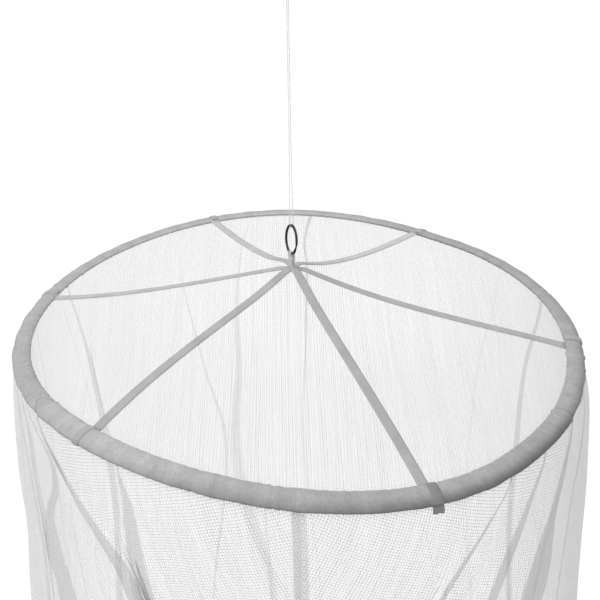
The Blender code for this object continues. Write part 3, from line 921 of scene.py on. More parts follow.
def addRoof(material):
    degrees = np.arange(roof["spokes"]) * 360 / roof["spokes"]
    inner = np.linspace(roof["innermost"], roof["crownShare"], 5)
    shares = np.concatenate([inner, np.linspace(roof["crownShare"], 1, roof["rings"] - 4)[1:]])
    points = roofPoint(*np.meshgrid(degrees, shares))
    place = betweenEnds(degrees)[2]
    # Shallow creases pulled from the tapes, and a fuller edge where the sleeve gathers the net
    pulls = ripple(degrees, roof["creaseWave"], 3) * np.sin(math.pi * place) ** 2
    edge = np.exp(-((1 - shares) / roof["gatherReach"])) * (shares < 1)
    points[..., 2] += roof["creaseDepth"] * pulls[None, :] * np.sin(math.pi * shares)[:, None]
    gathers = ripple(degrees, roof["gatherWave"], 3)
    points[..., 2] += roof["gatherDepth"] * gathers[None, :] * edge[:, None]
    middle = roofPoint(np.array(0.0), np.array(0.0))
    rows, columns = points.shape[:2]
    faces, _ = gridFaces(rows, columns, False, True, flip=True)
    flat = np.concatenate([points.reshape(-1, 3), middle[None, :]])
    faces = faces.tolist() + [[rows * columns, k, (k + 1) % columns] for k in range(columns)]
    corners = np.concatenate([np.asarray(face) for face in faces])
    veil = np.ones((rows, columns))
    veil *= np.interp(degrees, roof["veilPlaces"], roof["veils"], period=360)[None, :]
    veil *= smoothStep((shares - roof["veilFrom"]) / roof["veilSpan"])[:, None]
    veil += roof["edgeVeil"] * np.exp(-((1 - shares) / roof["edgeVeilReach"]))[:, None]
    veil = np.concatenate([veil.ravel(), [0]])
    attributes = {"veil": veil, "body": np.full(len(flat), roof["body"])}
    mesh = meshFrom("roof_cloth", flat + hoopMiddle, faces, flat[corners, :2], attributes)
    piece = addPiece("roof_cloth", mesh, material, ["roof_net"])


def tapeRow(degrees, share, place, tilt):
    # The tape's middle and its two edges, lying on the net and stacked where the tapes cross
    drawn = 1 - tape["drawnIn"] * math.exp(-((share / tape["drawnShare"]) ** 2))
    start, end = tape["tiltEase"]
    tilt = math.radians(tilt) * float(smoothStep(share / start) * smoothStep((1 - share) / end))
    reach = np.linalg.norm(roofEdge(degrees)[:2])
    step = tape["step"] * place * (1 - smoothStep((share - roof["crownShare"]) / tape["stackSpan"]))
    angle = math.radians(degrees)
    sideways = np.array((-math.sin(angle), math.cos(angle), 0.0))
    middle = roofRidge(degrees, share)
    row = []
    for side in np.linspace(-1, 1, tape["across"]):
        aside = side * drawn * tape["width"] / 2
        beside = degrees + math.degrees(math.atan2(aside, max(share, tape["leastShare"]) * reach))
        near = min(1.0, math.hypot(aside, share * reach) / np.linalg.norm(roofEdge(beside)[:2]))
        point = middle + sideways * aside * math.cos(tilt)
        height = roofRidge(beside, near)[2] if share > tape["levelShare"] else middle[2]
        point[2] = height + tape["lift"] + step
        point[2] += abs(math.sin(tilt)) * tape["tiltRise"] - aside * math.sin(tilt)
        row.append(point)
    return np.array(row)


# Each tape crosses the roof: piece, its two ends as rows of tapeEnds, place in the stack, degrees
# each half is tilted about its length, and the painted light that makes each half paler
crossingTapes = (
    ("tape_side", "roof_tape_side", 2, 5, 0, (-6, 6), (1.04, 1.0)),
    ("tape_left_front", "roof_tape_left_front", 3, 0, 1, (0, 0), (1.02, 1.22)),
    ("tape_right_front", "roof_tape_right_front", 4, 1, 2, (0, 0), (1.07, 1.08)),
)


def addTapes(material, paintedLightMaterial):
    shares = np.concatenate([[0.0], np.linspace(0.03, 1.0, tape["along"])])
    made = []
    for name, node, first, second, place, tilts, halfPaintedLights in crossingTapes:
        start, end = tapeEnds[first, 0], tapeEnds[second, 0]
        rows = [tapeRow(start, share, place, tilts[0]) for share in shares[::-1]]
        rows += [tapeRow(end, share, place, tilts[1])[::-1] for share in shares[1:]]
        rows = np.array(rows)
        length = pathLength(rows[:, tape["across"] // 2])
        # Slight cockle of the selvedges where the sewing draws them in
        edge = np.linspace(-1, 1, tape["across"])
        for side in (-1, 1):
            grip = np.clip(side * edge, 0, 1) ** 2
            rows[..., 2] += tape["cockle"] * ripple(length, tape["cockleWave"], 3)[:, None] * grip
        points = bothFaces(rows, upward * tape["thickness"] / 2) + hoopMiddle
        halves = smoothStep(np.linspace(-4, 5, len(rows)))[:, None]
        patch = tape["patch"] * ripple(length, tape["patchWave"], 3)[:, None]
        # Painted light makes each half and the back part of the tapes paler, on top of random patches
        paler = halfPaintedLights[0] * (1 - halves) + halfPaintedLights[1] * halves + patch
        paler = paler + tape["backPaintedLight"] * smoothStep(points[..., 1] / tape["backReach"])
        mesh = gridMesh(name, points, roundColumns=True, capped=True, tone=paler)
        # The side tape gets the paler copy of the tape cloth, which is painted light
        piece = addPiece(name, mesh, material if place else paintedLightMaterial, [node])
        made.append(rows)
    return made


turned = {
    "start": 156,  # degrees round the sleeve's section, from its inner side over the top
    "end": -24,
    "steps": 30,
    "reach": 0.0103,
    "rise": 0.0043,
    "tailSteps": 9,
    "tailGap": 0.0004,
    "tailLean": 0.25,
    "tailAside": 0.0032,
    "tailCurl": 0.0005,
    "tailCorner": 0.0018,
    "tailPale": 0.45,
    "across": 11,
    "waist": 0.06,
    "crease": 0.00028,
    "creaseWave": 0.0022,
    "ridge": 0.00012,
    "ridgeWave": 0.006,
    "creaseLeast": 0.4,
    "tailFree": 0.6,
    "tailCurlWave": 1.3,
    "cornerFrom": 0.1,
    "padding": 0.0009,
    "halfThickness": 0.0002,
}
# Tape ends turned over the sleeve: piece, middle degrees, width mm, free tail mm, slant mm
tapeTurns = (
    ("turn_right", "tape_turn_right", 352.0, 10.0, 0.0, 0.6),
    ("turn_back_right", "tape_turn_back_right", 50.0, 10.0, 0.0, -0.4),
    ("turn_back_left", "tape_turn_back_left", 112.0, 11.0, 0.0, 0.4),
    ("turn_left", "tape_turn_left", 169.3, 10.0, 0.0, 0.5),
    ("turn_left_front", "tape_turn_left_front", 229.0, 10.0, 0.0, -0.8),
    ("turn_right_front", "tape_turn_right_front", 291.2, 11.0, 8.0, -5.0),
)


def turnPath(tail):
    # Over the sleeve in its section, then down the free tail, with the way out at each point
    angles = np.radians(np.linspace(turned["start"], turned["end"], turned["steps"]))
    path = np.stack([turned["reach"] * np.cos(angles), turned["rise"] * np.sin(angles)], -1)
    if tail:
        steps = np.linspace(0.12, 1.0, turned["tailSteps"])[:, None]
        drop = np.array((turned["tailLean"] * tail / 1000, -tail / 1000))
        path = np.concatenate([path, path[-1] + np.array((turned["tailGap"], 0)) + drop * steps])
    gap = np.gradient(path, axis=0)
    normal = -unit(np.stack([-gap[:, 1], gap[:, 0]], -1))
    inward = (normal * path).sum(1, keepdims=True) < 0
    return path, np.where(inward, -normal, normal)


def turnPoints(middle, width, tail, slant):
    path, normal = turnPath(tail)
    across = np.linspace(-1, 1, turned["across"])
    length = pathLength(path)
    share = length / length[-1]
    aside = across[None, :] * width / 2000 + slant / 1000 * (share[:, None] - 0.5)
    # The end is drawn in where it is sewn, and its cloth is creased along its length
    aside = aside * (1 - turned["waist"] * np.sin(math.pi * share)[:, None])
    crease = ripple(across * width / 2000, turned["creaseWave"], 3)[None, :]
    least, freeFrom, cornerFrom = turned["creaseLeast"], turned["tailFree"], turned["cornerFrom"]
    crease = turned["crease"] * crease * (least + (1 - least) * share[:, None])
    crease = crease + turned["ridge"] * ripple(length, turned["ridgeWave"], 2)[:, None]
    if tail:
        free = smoothStep((share - freeFrom) / (1 - freeFrom))[:, None]
        aside = aside + turned["tailAside"] * free
        crease = crease + turned["tailCurl"] * ripple(across, turned["tailCurlWave"], 1)[None, :] * free
    crown = np.sqrt(np.clip(1 - across**2, 0, 1))
    degrees = middle + np.degrees(aside / (float(roundValue(1, middle)) / 1000))
    layers = []
    for side, padding in ((1, turned["padding"]), (-1, 0)):
        depth = side * turned["halfThickness"] + padding * crown[None, :]
        reach = path[:, None, 0] + normal[:, None, 0] * (crease + depth)
        rise = path[:, None, 1] + normal[:, None, 1] * (crease + depth)
        layers.append(hoopPoint(degrees, reach, rise) + hoopMiddle)
    if tail:
        corner = turned["tailCorner"] * np.clip((across - cornerFrom) / (1 - cornerFrom), 0, 1)
        for layer in layers:
            layer[-1, :, 2] -= corner
            layer[-2, :, 2] -= corner / 2
    return np.concatenate([layers[0], layers[1][:, ::-1]], 1), length


def addTurns(material, darkMaterial):
    for name, node, middle, width, tail, slant in tapeTurns:
        points, length = turnPoints(middle, width, tail, slant)
        pale = np.ones(points.shape[:2])
        if tail:
            pale += turned["tailPale"] * smoothStep((length / length[-1] - 0.72) / 0.1)[:, None]
        mesh = gridMesh(name, points, roundColumns=True, capped=True, tone=pale)
        # The turned end with a tail gets the darker copy of the tape cloth, which is painted shade
        piece = addPiece(name, mesh, darkMaterial if tail else material, [node])


# One row per main fold: degrees at the hoop, where the slant ends and at the hem, then its depth
# near the hoop and at the hem, mm
folds = np.array(
    [
        (2.0, 8.0, 10, 8, 60),
        (22.0, 32.0, 28, 6, 55),
        (40.0, 46.0, 42, 4, 50),
        (58.0, 60.0, 56, 5, 62),
        (76.0, 75.0, 71, 4, 66),
        (85.0, 86.5, 84, 3, 52),
        (97.0, 97.0, 94, 4, 58),
        (112.0, 112.0, 106, 5, 48),
        (130.0, 127.0, 121, 4, 64),
        (149.0, 141.0, 136, 5, 56),
        (166.0, 160.0, 154, 6, 68),
        (180.0, 178.0, 171, 5, 52),
        (195.0, 192.0, 186, 6, 58),
        (206.0, 206.0, 200, 6, 60),
        (215.0, 232.0, 219, 7, 66),
        (228.0, 241.0, 233, 5, 50),
        (240.0, 246.5, 245, 4, 44),
        (251.0, 255.0, 254, 4, 44),
        (264.5, 265.3, 265, 3, 42),
        (269.5, 269.5, 273, 3, 40),
        (280.0, 281.5, 284, 3, 48),
        (287.5, 290.0, 293, 4, 36),
        (300.0, 296.0, 303, 5, 32),
        (311.0, 301.5, 312, 5, 34),
        (317.5, 307.5, 321, 5, 38),
        (327.0, 315.0, 331, 7, 44),
        (338.0, 327.0, 342, 6, 50),
        (350.0, 345.0, 355, 8, 56),
    ],
    float,
)
wall = {
    "drop": 2.30,
    "topReach": 0.00615,
    "topRise": -0.0024,
    "flare": 0.14,
    "flareEase": 0.008,
    "girth": 1.92,
    "grain": 0.13,
    "fan": 2.4,
    "fanDrop": 0.6,
    "puff": 0.007,
    "puffDrop": 0.02,
    "foldStart": 0.15,
    "driftDrop": 0.16,
    "hem": 0.020,
    "topRows": (0, 0.0016, 0.0034, 0.0055),
    "evenFrom": 0.008,
    "hemEdge": 0.0015,
    "fineDrop": 0.34,
    "fineRows": 50,
    "lowRows": 34,
    "columns": 1440,
    "thinning": 3,  # the lower rows have one column for this many
    "columnPull": 2.4,
    "pleat": 0.00022,
    "pleatWaves": ((0.4, 0.014), (1.0, 0.036)),  # share, metres
    "pleatStart": 0.012,
    "pleatFade": (0.12, 0.22),
    "pleatLeft": 0.25,
    "topVeil": 0.25,
    "topVeilDrop": 0.005,
    "creaseFade": 0.6,
    "widthFade": 1.1,
    "layersStart": 0.01,
    "mostVeil": 0.7,
    "hemVeil": 0.16,
    "flat": (3.75, 2.35),
    "flatArea": 7.7,
}

# Creases laid over one by one: the side its sharp edge is on, how much its layers veil, whether it lies
# flat or is only a soft turn of the cloth, then its degrees round the hoop and the width in mm of the
# cloth laid double, both at these drops
creaseDrops = (0.0, 0.03, 0.06, 0.10, 0.14, 0.20, 0.30, 0.50)
creases = {
    "right back": (
        (-1, 0.34, True),
        (11.2, 12.3, 13.6, 15.3, 16.8, 18.1, 19.2, 21.0),
        (4, 5, 5, 6, 6, 7, 8, 9),
    ),
    "right far": (
        (-1, 0.06, False),
        (26.0, 26.5, 27.5, 29.0, 31.0, 33.0, 35.0, 37.0),
        (1, 1.5, 2, 2, 2.5, 3, 4, 5),
    ),
    "back middle": (
        (1, 0.32, True),
        (84.9, 86.1, 86.9, 86.4, 86.5, 87.0, 87.6, 89.0),
        (4.5, 4, 3, 3, 3, 2.4, 2, 1.5),
    ),
    "back wide": (
        (1, 0.18, False),
        (101.0, 102.5, 104.0, 105.0, 105.8, 106.3, 106.3, 108.4),
        (0, 1, 2, 3, 4, 6, 9, 16),
    ),
    "back thin": (
        (-1, 0.20, True),
        (123.0, 122.6, 122.0, 121.4, 120.6, 119.0, 116.3, 111.2),
        (0, 0, 0, 1, 1.5, 2, 2, 3),
    ),
    "left low": (
        (-1, 0.06, False),
        (147.0, 148.0, 149.5, 151.0, 152.0, 151.3, 148.8, 145.0),
        (0, 0, 0, 0, 2, 5, 7, 9),
    ),
    "left back": (
        (1, 0.26, True),
        (160.3, 159.0, 157.3, 155.6, 154.2, 152.6, 150.6, 148.5),
        (1.5, 2.5, 3, 3, 4, 5, 6, 7),
    ),
    "left far": (
        (1, 0.10, True),
        (163.0, 162.0, 160.6, 158.7, 157.0, 154.8, 152.6, 150.5),
        (0.8, 1, 1.2, 1.5, 1.5, 1.5, 1, 1),
    ),
    "left thin": (
        (-1, 0.14, True),
        (174.3, 173.6, 173.0, 172.4, 172.0, 171.6, 171.0, 170.0),
        (1, 1.4, 1.6, 1.6, 2, 2, 2, 2),
    ),
    "left edge": (
        (1, 0.08, False),
        (194.0, 195.0, 196.4, 198.0, 198.6, 199.0, 199.0, 199.0),
        (2, 4, 5, 5, 5, 6, 8, 9),
    ),
    "left steep": (
        (-1, 0.28, False),
        (201.0, 205.0, 207.0, 208.6, 209.6, 210.2, 210.8, 212.0),
        (2, 6, 10, 16, 22, 22, 22, 20),
    ),
    "left wedge": (
        (1, 0.30, True),
        (205.0, 211.8, 213.6, 215.8, 217.2, 217.8, 218.5, 220.0),
        (2, 10, 16, 18, 12, 7, 5, 5),
    ),
    "left turn": (
        (-1, 0.36, True),
        (208.0, 219.8, 221.8, 219.2, 219.6, 223.0, 225.0, 227.0),
        (2, 6, 9, 11, 20, 28, 26, 24),
    ),
    "left streak": (
        (1, 0.10, False),
        (210.3, 221.8, 225.4, 226.0, 226.9, 228.5, 231.0, 233.0),
        (0, 0.8, 1.5, 2, 2.5, 3, 4, 4),
    ),
    "left faint": (
        (-1, 0.10, False),
        (212.3, 222.9, 227.6, 230.5, 233.0, 237.0, 240.0, 242.0),
        (0, 0, 0.8, 1.5, 2, 2.5, 3, 3),
    ),
    "left slant": (
        (1, 0.44, True),
        (214.5, 222.2, 230.4, 239.0, 242.6, 244.8, 246.5, 248.0),
        (4, 14, 16, 16, 14, 14, 14, 14),
    ),
    "left band": (
        (1, 0.38, True),
        (238.7, 241.2, 241.9, 242.9, 244.9, 247.0, 249.0, 250.0),
        (1, 9, 16, 20, 18, 17, 15, 12),
    ),
    "front left": (
        (1, 0.14, True),
        (249.5, 250.2, 251.4, 254.2, 255.0, 256.0, 257.0, 258.0),
        (0, 0.5, 1.5, 1.6, 1.5, 1, 0, 0),
    ),
    "front": (
        (-1, 0.16, True),
        (264.6, 264.9, 265.1, 265.2, 265.2, 265.2, 265.2, 265.2),
        (1.2, 1.3, 1.4, 1.3, 1.2, 1, 0, 0),
    ),
    "front seam": (
        (1, 0.0, False),
        (269.5, 269.5, 269.45, 269.4, 269.3, 269.1, 268.9, 268.8),
        (0, 0, 0, 0, 0, 0, 0, 0),
    ),
    "tail side": (
        (1, 0.08, True),
        (287.4, 288.9, 289.6, 289.4, 289.0, 288.6, 288.0, 288.0),
        (1.2, 1.4, 1.2, 1, 1, 0, 0, 0),
    ),
    "right slant": (
        (1, 0.46, True),
        (307.4, 301.4, 296.0, 290.8, 288.6, 288.0, 287.6, 287.6),
        (2, 4, 5, 5.5, 5, 5, 5, 5),
    ),
    "right band": (
        (-1, 0.42, True),
        (318.0, 312.2, 307.8, 303.0, 299.6, 296.6, 295.0, 294.0),
        (3, 8, 14, 15, 14, 13, 14, 14),
    ),
    "right dart": (
        (-1, 0.46, True),
        (329.6, 323.8, 320.6, 316.4, 313.8, 309.6, 306.0, 304.0),
        (4, 14, 24, 42, 54, 56, 52, 44),
    ),
    "right edge": (
        (-1, 0.26, True),
        (341.0, 334.0, 330.4, 327.4, 325.4, 322.6, 321.0, 320.0),
        (2, 6, 9, 10, 9, 9, 10, 10),
    ),
}
# Where the cloth hangs further out or in than its folds alone would set it: degrees, spread
# degrees, then mm at creaseDrops
edgePulls = (
    (338.0, 17.0, (0, 2.5, 1.5, -1.0, -2.5, -5.0, -8.5, -9.0)),
    (203.0, 15.0, (0, -1.0, -1.5, -2.5, -3.5, -7.0, -5.0, -4.0)),
)
# How heavy the net reads round the hoop where it hangs: degrees, thread body, gathered veil
gathering = np.array(
    [
        (0, 1.7, 0.17),
        (20, 1.2, 0.04),
        (45, 1.0, 0.0),
        (135, 1.0, 0.0),
        (160, 1.2, 0.0),
        (180, 1.7, 0.05),
        (200, 1.95, 0.05),
        (220, 2.0, 0.03),
        (236, 1.65, 0.02),
        (250, 1.6, 0.02),
        (285, 1.6, 0.025),
        (300, 1.7, 0.045),
        (312, 2.1, 0.05),
        (325, 2.0, 0.12),
        (345, 2.0, 0.19),
        (360, 1.7, 0.17),
    ]
)
frontSeam = {
    "start": 268.5,
    "end": 270.45,
    "lappedShare": 0.6,
    "veil": 0.43,
    "paler": 0.30,
    "lift": 0.0006,
    "liftDrop": 0.006,
}


def foldsBeside(degrees):
    tops = folds[:, 0]
    first = (np.searchsorted(tops, degrees % 360, side="right") - 1) % len(folds)
    after = (first + 1) % len(folds)
    share = (degrees - tops[first]) % 360 / ((tops[after] - tops[first]) % 360)
    return first, after, share


def driftedAngle(degrees, drop):
    # Where the cloth that leaves the hoop at this angle hangs at this drop
    first, after, share = foldsBeside(degrees)
    slant = degreesApart(folds[:, 1], folds[:, 0])
    settle = degreesApart(folds[:, 2], folds[:, 1])
    fall = drop / wall["driftDrop"]
    near = slant * fall / (1 + fall**4) ** 0.25 + settle * drop / wall["drop"]
    return degrees + near[first] * (1 - share) + near[after] * share


def foldHeight(degrees, drop):
    first, after, share = foldsBeside(degrees)
    nearest = np.where(share < 0.5, first, after)
    other = np.where(share < 0.5, after, first)
    start = smoothStep(drop / wall["foldStart"])
    fall = (drop / wall["drop"]) ** 1.3
    crest = np.cos(math.pi * share) ** 2
    height = folds[nearest, 3] / 1000 * start + folds[nearest, 4] / 1000 * fall
    valley = (folds[other, 3] - folds[nearest, 3]) / 4000 * start
    valley = valley + (folds[other, 4] - folds[nearest, 4]) / 4000 * fall
    return height * (crest - 0.5) - valley * (1 - crest)


def creaseShift(degrees, drop):
    # How far each laid crease pulls the cloth round from where the main folds would hang it
    tops = np.array([track[0] for _, track, _ in creases.values()])
    fade = 1 - smoothStep((drop - creaseDrops[-1]) / wall["creaseFade"])
    hung = [tableValue(creaseDrops, track, drop) for _, track, _ in creases.values()]
    pull = fade * (np.array(hung) - driftedAngle(tops, drop))
    places = np.concatenate([[tops[-1] - 360], tops, [tops[0] + 360]])
    values = np.concatenate([[pull[-1]], pull, [pull[0]]])
    return np.interp(degrees, places, values)


def wallColumns():
    # Column angles round the hoop, closer together at the laid creases
    fine = np.linspace(0, 360, 7201)
    density = np.ones_like(fine)
    for _, track, widths in creases.values():
        spread = 0.55 + max(widths) * 0.030
        apart = degreesApart(fine, track[0])
        density += wall["columnPull"] * np.exp(-((apart / spread) ** 2))
    total = np.concatenate([[0], np.cumsum((density[1:] + density[:-1]) / 2)])
    angles = np.interp(np.arange(wall["columns"]) / wall["columns"] * total[-1], total, fine)
    for edge in (frontSeam["start"], frontSeam["end"]):
        angles[np.argmin(np.abs(angles - edge))] = edge
    return angles


layers = {
    "narrowed": 0.35,  # share of its width that a crease keeps at the hem
    "least": 0.00005,
    "sharpEdge": 0.0005,
    "softEdge": 0.0011,
    "roundEdge": 0.0008,
    "full": 0.0004,  # half width from which a crease shows in full
    "rim": 0.0006,
    "rimFull": 0.001,
    "rimCover": 0.35,
    "push": (0.0002, 0.12, 0.0006),  # at least, for each metre of half width, at most
}


def layCrease(crease, place, drop, fade):
    # How far a crease's layers push the cloth out here, and how much they let through
    (sharpSide, cover, flat), track, widths = crease
    kept = layers["narrowed"] + (1 - layers["narrowed"]) * fade
    half = float(tableValue(creaseDrops, widths, drop)) / 2000 * kept
    if half <= layers["least"]:
        return 0.0, 1.0
    top = np.array(track[0])
    middle = float(driftedAngle(top, drop) + creaseShift(top, drop))
    apart = degreesApart(place, middle) * math.pi / 180 * meanRadius * sharpSide
    if flat:
        soft = np.where(apart > 0, layers["sharpEdge"], layers["softEdge"])
    else:
        soft = max(half * 0.9, layers["roundEdge"])
    laid = min(1.0, half / layers["full"]) * smoothStep((half - np.abs(apart)) / soft + 0.5)
    clear = 1 - cover * laid
    if flat:
        rim = bell(apart, half, layers["rim"]) * min(1.0, half / layers["rimFull"])
        clear = clear * (1 - layers["rimCover"] * cover * rim)
    least, growth, most = layers["push"]
    return min(most, least + half * growth) * laid, clear


def wallRow(angles, drop, pleats):
    # One row of the wall's cloth: its points, how far its layers veil, its threads' body and where
    # round the hoop it hangs
    tops = hoopPoint(angles, wall["topReach"], wall["topRise"])
    place = driftedAngle(angles, drop) + creaseShift(angles, drop)
    fade = 1 - smoothStep((drop - creaseDrops[-1]) / wall["widthFade"])
    body = np.interp(place % 360, gathering[:, 0], gathering[:, 1])
    veil = np.interp(place % 360, gathering[:, 0], gathering[:, 2])
    reachPoint = hoopPoint(place, wall["topReach"], wall["topRise"])
    radius = np.hypot(reachPoint[:, 0], reachPoint[:, 1])
    radius = radius + wall["flare"] * drop - wall["flareEase"] * drop**2 + foldHeight(angles, drop)
    radius = radius + wall["puff"] * (1 - math.exp(-drop / wall["puffDrop"]))
    push, clear = np.zeros_like(angles), 1 - veil
    for crease in creases.values():
        out, through = layCrease(crease, place, drop, fade)
        push += out
        clear = clear * through
    for degrees, spread, pulls in edgePulls:
        pull = tableValue(creaseDrops, pulls, drop) / 1000 * fade
        radius = radius + pull * bell(degreesApart(place, degrees), 0, spread)
    radius = radius + push * min(1.0, drop / wall["layersStart"])
    start = smoothStep(drop / wall["pleatStart"])
    fadeFrom, fadeSpan = wall["pleatFade"]
    fine = start * (1 - smoothStep((drop - fadeFrom) / fadeSpan)) + wall["pleatLeft"] * start
    radius = radius + wall["pleat"] * fine * pleats
    first, last = frontSeam["start"], frontSeam["end"]
    seam = (angles >= first) & (angles <= last)
    radius = radius + frontSeam["lift"] * seam * min(1.0, drop / frontSeam["liftDrop"])
    lapped = seam & (angles < first + (last - first) * frontSeam["lappedShare"])
    veil = 1 - clear + frontSeam["paler"] * seam + (frontSeam["veil"] - frontSeam["paler"]) * lapped
    veil = veil + wall["topVeil"] * math.exp(-((drop / wall["topVeilDrop"]) ** 2))
    angle = np.radians(place)
    points = np.stack([radius * np.cos(angle), radius * np.sin(angle), tops[:, 2] - drop], -1)
    return points, veil, body, place


def wallRows(angles, drops, pleats):
    made = [wallRow(angles, drop, pleats) for drop in drops]
    return [np.array(values) for values in zip(*made)]


def clothUv(place, drop):
    # Where each face's corners lie in the flat cloth, whose threads hang straight at the back and
    # lean towards the seam at the front
    grain = wall["grain"]
    turns = np.floor((place.mean(1, keepdims=True) + 90) / 360)
    turn = np.radians(place - 90 - 360 * turns) * grain
    above = np.minimum(drop, wall["fineDrop"])
    reach = wall["girth"] / (2 * math.pi * grain) - above * math.hypot(1, wall["flare"])
    # Lower down the cloth fans out again, as the skirt does
    below = drop - above
    parts = (np.arange(16) + 0.5) / 16
    fan = smoothStep(below[..., None] * parts / wall["fanDrop"])
    lean = turn[..., None] * (wall["fan"] * fan - 1)
    across = reach * np.sin(turn) + below * np.sin(lean).mean(-1)
    down = below * np.cos(lean).mean(-1) - reach * np.cos(turn)
    return np.stack([across, down], -1).reshape(-1, 2)


def wallFaces(count, lowCount, upper, lower, topPlace, lowPlace):
    # Quads of the closely set rows and of the lower ones, and the faces that join them
    step = wall["thinning"]
    base = len(upper) * count
    lastRow = base - count
    upperFaces, upperPlaces = gridFaces(len(upper), count, False, True)
    lowerFaces, lowerPlaces = gridFaces(len(lower), lowCount, False, True)
    faces = upperFaces.tolist() + (lowerFaces + base).tolist()
    closedTop = np.concatenate([topPlace, topPlace[:, :1] + 360], 1)
    closedLow = np.concatenate([lowPlace, lowPlace[:, :1] + 360], 1)
    uv = []
    for around, drops, places in ((closedTop, upper, upperPlaces), (closedLow, lower, lowerPlaces)):
        r, c = places[..., 0], places[..., 1]
        uv.append(clothUv(around[r, c], drops[r]))
    join = []
    for k in range(lowCount):
        corners = [lastRow + (step * k + part) % count for part in range(step + 1)]
        faces.append(corners + [base + (k + 1) % lowCount, base + k])
        above = [closedTop[-1, step * k + part] for part in range(step + 1)]
        join.append(above + [closedLow[0, k + 1], closedLow[0, k]])
    joinDrops = np.array([upper[-1]] * (step + 1) + [lower[0]] * 2)
    uv.append(clothUv(np.array(join), joinDrops[None, :]))
    return faces, np.concatenate(uv)


def addWall(material):
    angles = wallColumns()
    fine, step = wall["fineDrop"], wall["thinning"]
    topRows, edge = wall["topRows"], wall["hemEdge"]
    upper = np.linspace(wall["evenFrom"], fine, wall["fineRows"] - len(topRows))
    upper = np.concatenate([topRows, upper])
    hemTop = wall["drop"] - wall["hem"]
    lower = np.linspace(fine, hemTop, wall["lowRows"] - 3)[1:]
    lower = np.concatenate([lower, [hemTop + edge, wall["drop"] - edge, wall["drop"]]])
    metres = angles * math.pi / 180 * meanRadius
    pleats = sum(share * ripple(metres, wave, 3) for share, wave in wall["pleatWaves"])
    sparse = angles[::step]
    top, topVeil, topBody, topPlace = wallRows(angles, upper, pleats)
    low, lowVeil, lowBody, lowPlace = wallRows(sparse, lower, pleats[::step])
    # The hem's turned edge lies double
    lowVeil[-3:] = 1 - (1 - lowVeil[-3:]) * (1 - wall["hemVeil"])
    faces, uv = wallFaces(len(angles), len(sparse), upper, lower, topPlace, lowPlace)
    points = np.concatenate([top.reshape(-1, 3), low.reshape(-1, 3)]) + hoopMiddle
    veil = np.clip(np.concatenate([topVeil.ravel(), lowVeil.ravel()]), 0, wall["mostVeil"])
    body = np.concatenate([topBody.ravel(), lowBody.ravel()])
    mesh = meshFrom("wall_cloth", points, faces, uv, {"veil": veil, "body": body})
    hemSeam = low[-4] + hoopMiddle
    return addPiece("wall_cloth", mesh, material, ["wall_net"]), hemSeam


ring = {
    "outer": 0.0165,
    "wire": 0.0011,
    "turn": math.radians(-19.8),
    "lean": math.radians(8.2),
    "slip": math.radians(15),
    "firstEnd": math.radians(205),
    "stepsRound": 96,
    "coilHalfWidth": 0.00060,
    "coilReach": 1.12,  # of the wire, with its edges worn round
    "coilOffset": 0.00061,
    "squareness": 0.7,
    "crossing": (0.44, 0.12),  # where the wire steps over, and how much of its length that takes
    "endThin": 0.45,
    "endSpan": 0.02,
}


def ringAxes():
    # Along the wire where the line and the tab hold the ring, square to its plane, and from its
    # middle to where the line holds it
    turn, lean, slip = ring["turn"], ring["lean"], ring["slip"]
    level = np.array((math.sin(turn), math.cos(turn), 0.0))
    across = np.array((math.cos(turn), -math.sin(turn), 0.0))
    leantUp = upward * math.cos(lean) + across * math.sin(lean)
    normal = across * math.cos(lean) - upward * math.sin(lean)
    along = level * math.cos(slip) - leantUp * math.sin(slip)
    return along, normal, leantUp * math.cos(slip) + level * math.sin(slip)


def roundedSquare(value):
    return np.sign(value) * np.abs(value) ** ring["squareness"]


def addRing(material):
    # A split ring: two coils of flat-sided wire pressed together, thinning at its two ends
    along, normal, heldUp = ringAxes()
    centre = crownAxis + upward * ringHeight
    radius = ring["outer"] - ring["wire"]
    steps = 2 * ring["stepsRound"]
    turns = np.linspace(0, 4 * math.pi, steps + 1)[:-1] + ring["firstEnd"]
    progress = np.linspace(0, 1, steps)
    # The wire steps over from one coil to the other half way, and thins at its two ends
    start, span = ring["crossing"]
    side = ring["coilOffset"] * (2 * smoothStep((progress - start) / span) - 1)
    thin, fromEnd = ring["endThin"], np.minimum(progress, 1 - progress)
    taper = np.minimum(1.0, thin + (1 - thin) * fromEnd / ring["endSpan"])
    angles = np.arange(12) * 2 * math.pi / 12
    reach = roundedSquare(np.cos(angles)) * ring["wire"] * ring["coilReach"]
    wide = roundedSquare(np.sin(angles)) * ring["coilHalfWidth"]
    out = along * np.cos(turns)[:, None] + heldUp * np.sin(turns)[:, None]
    reach = radius + reach[None, :] * taper[:, None]
    wide = side[:, None] + wide[None, :] * taper[:, None]
    sections = centre + out[:, None] * reach[..., None] + normal * wide[..., None]
    mesh = gridMesh("split_ring", sections, roundColumns=True, capped=True)
    addPiece("split_ring", mesh, material, ["crown_ring"])


loop = {
    "width": 0.0094,
    "thickness": 0.0006,
    "bend": 0.0018,
    "foot": 0.0005,
    "footRise": 0.0008,
    "bulge": 0.0008,
    "waist": 0.25,
    # painted light on the tab, as scales of its colour
    "paintedLightLevels": {-1: 1.6, 0: 1.0, 1: 1.9},  # its left leg, its bend and its right leg
    "legSteps": 13,
    "bendSteps": 17,
    "across": 9,
}


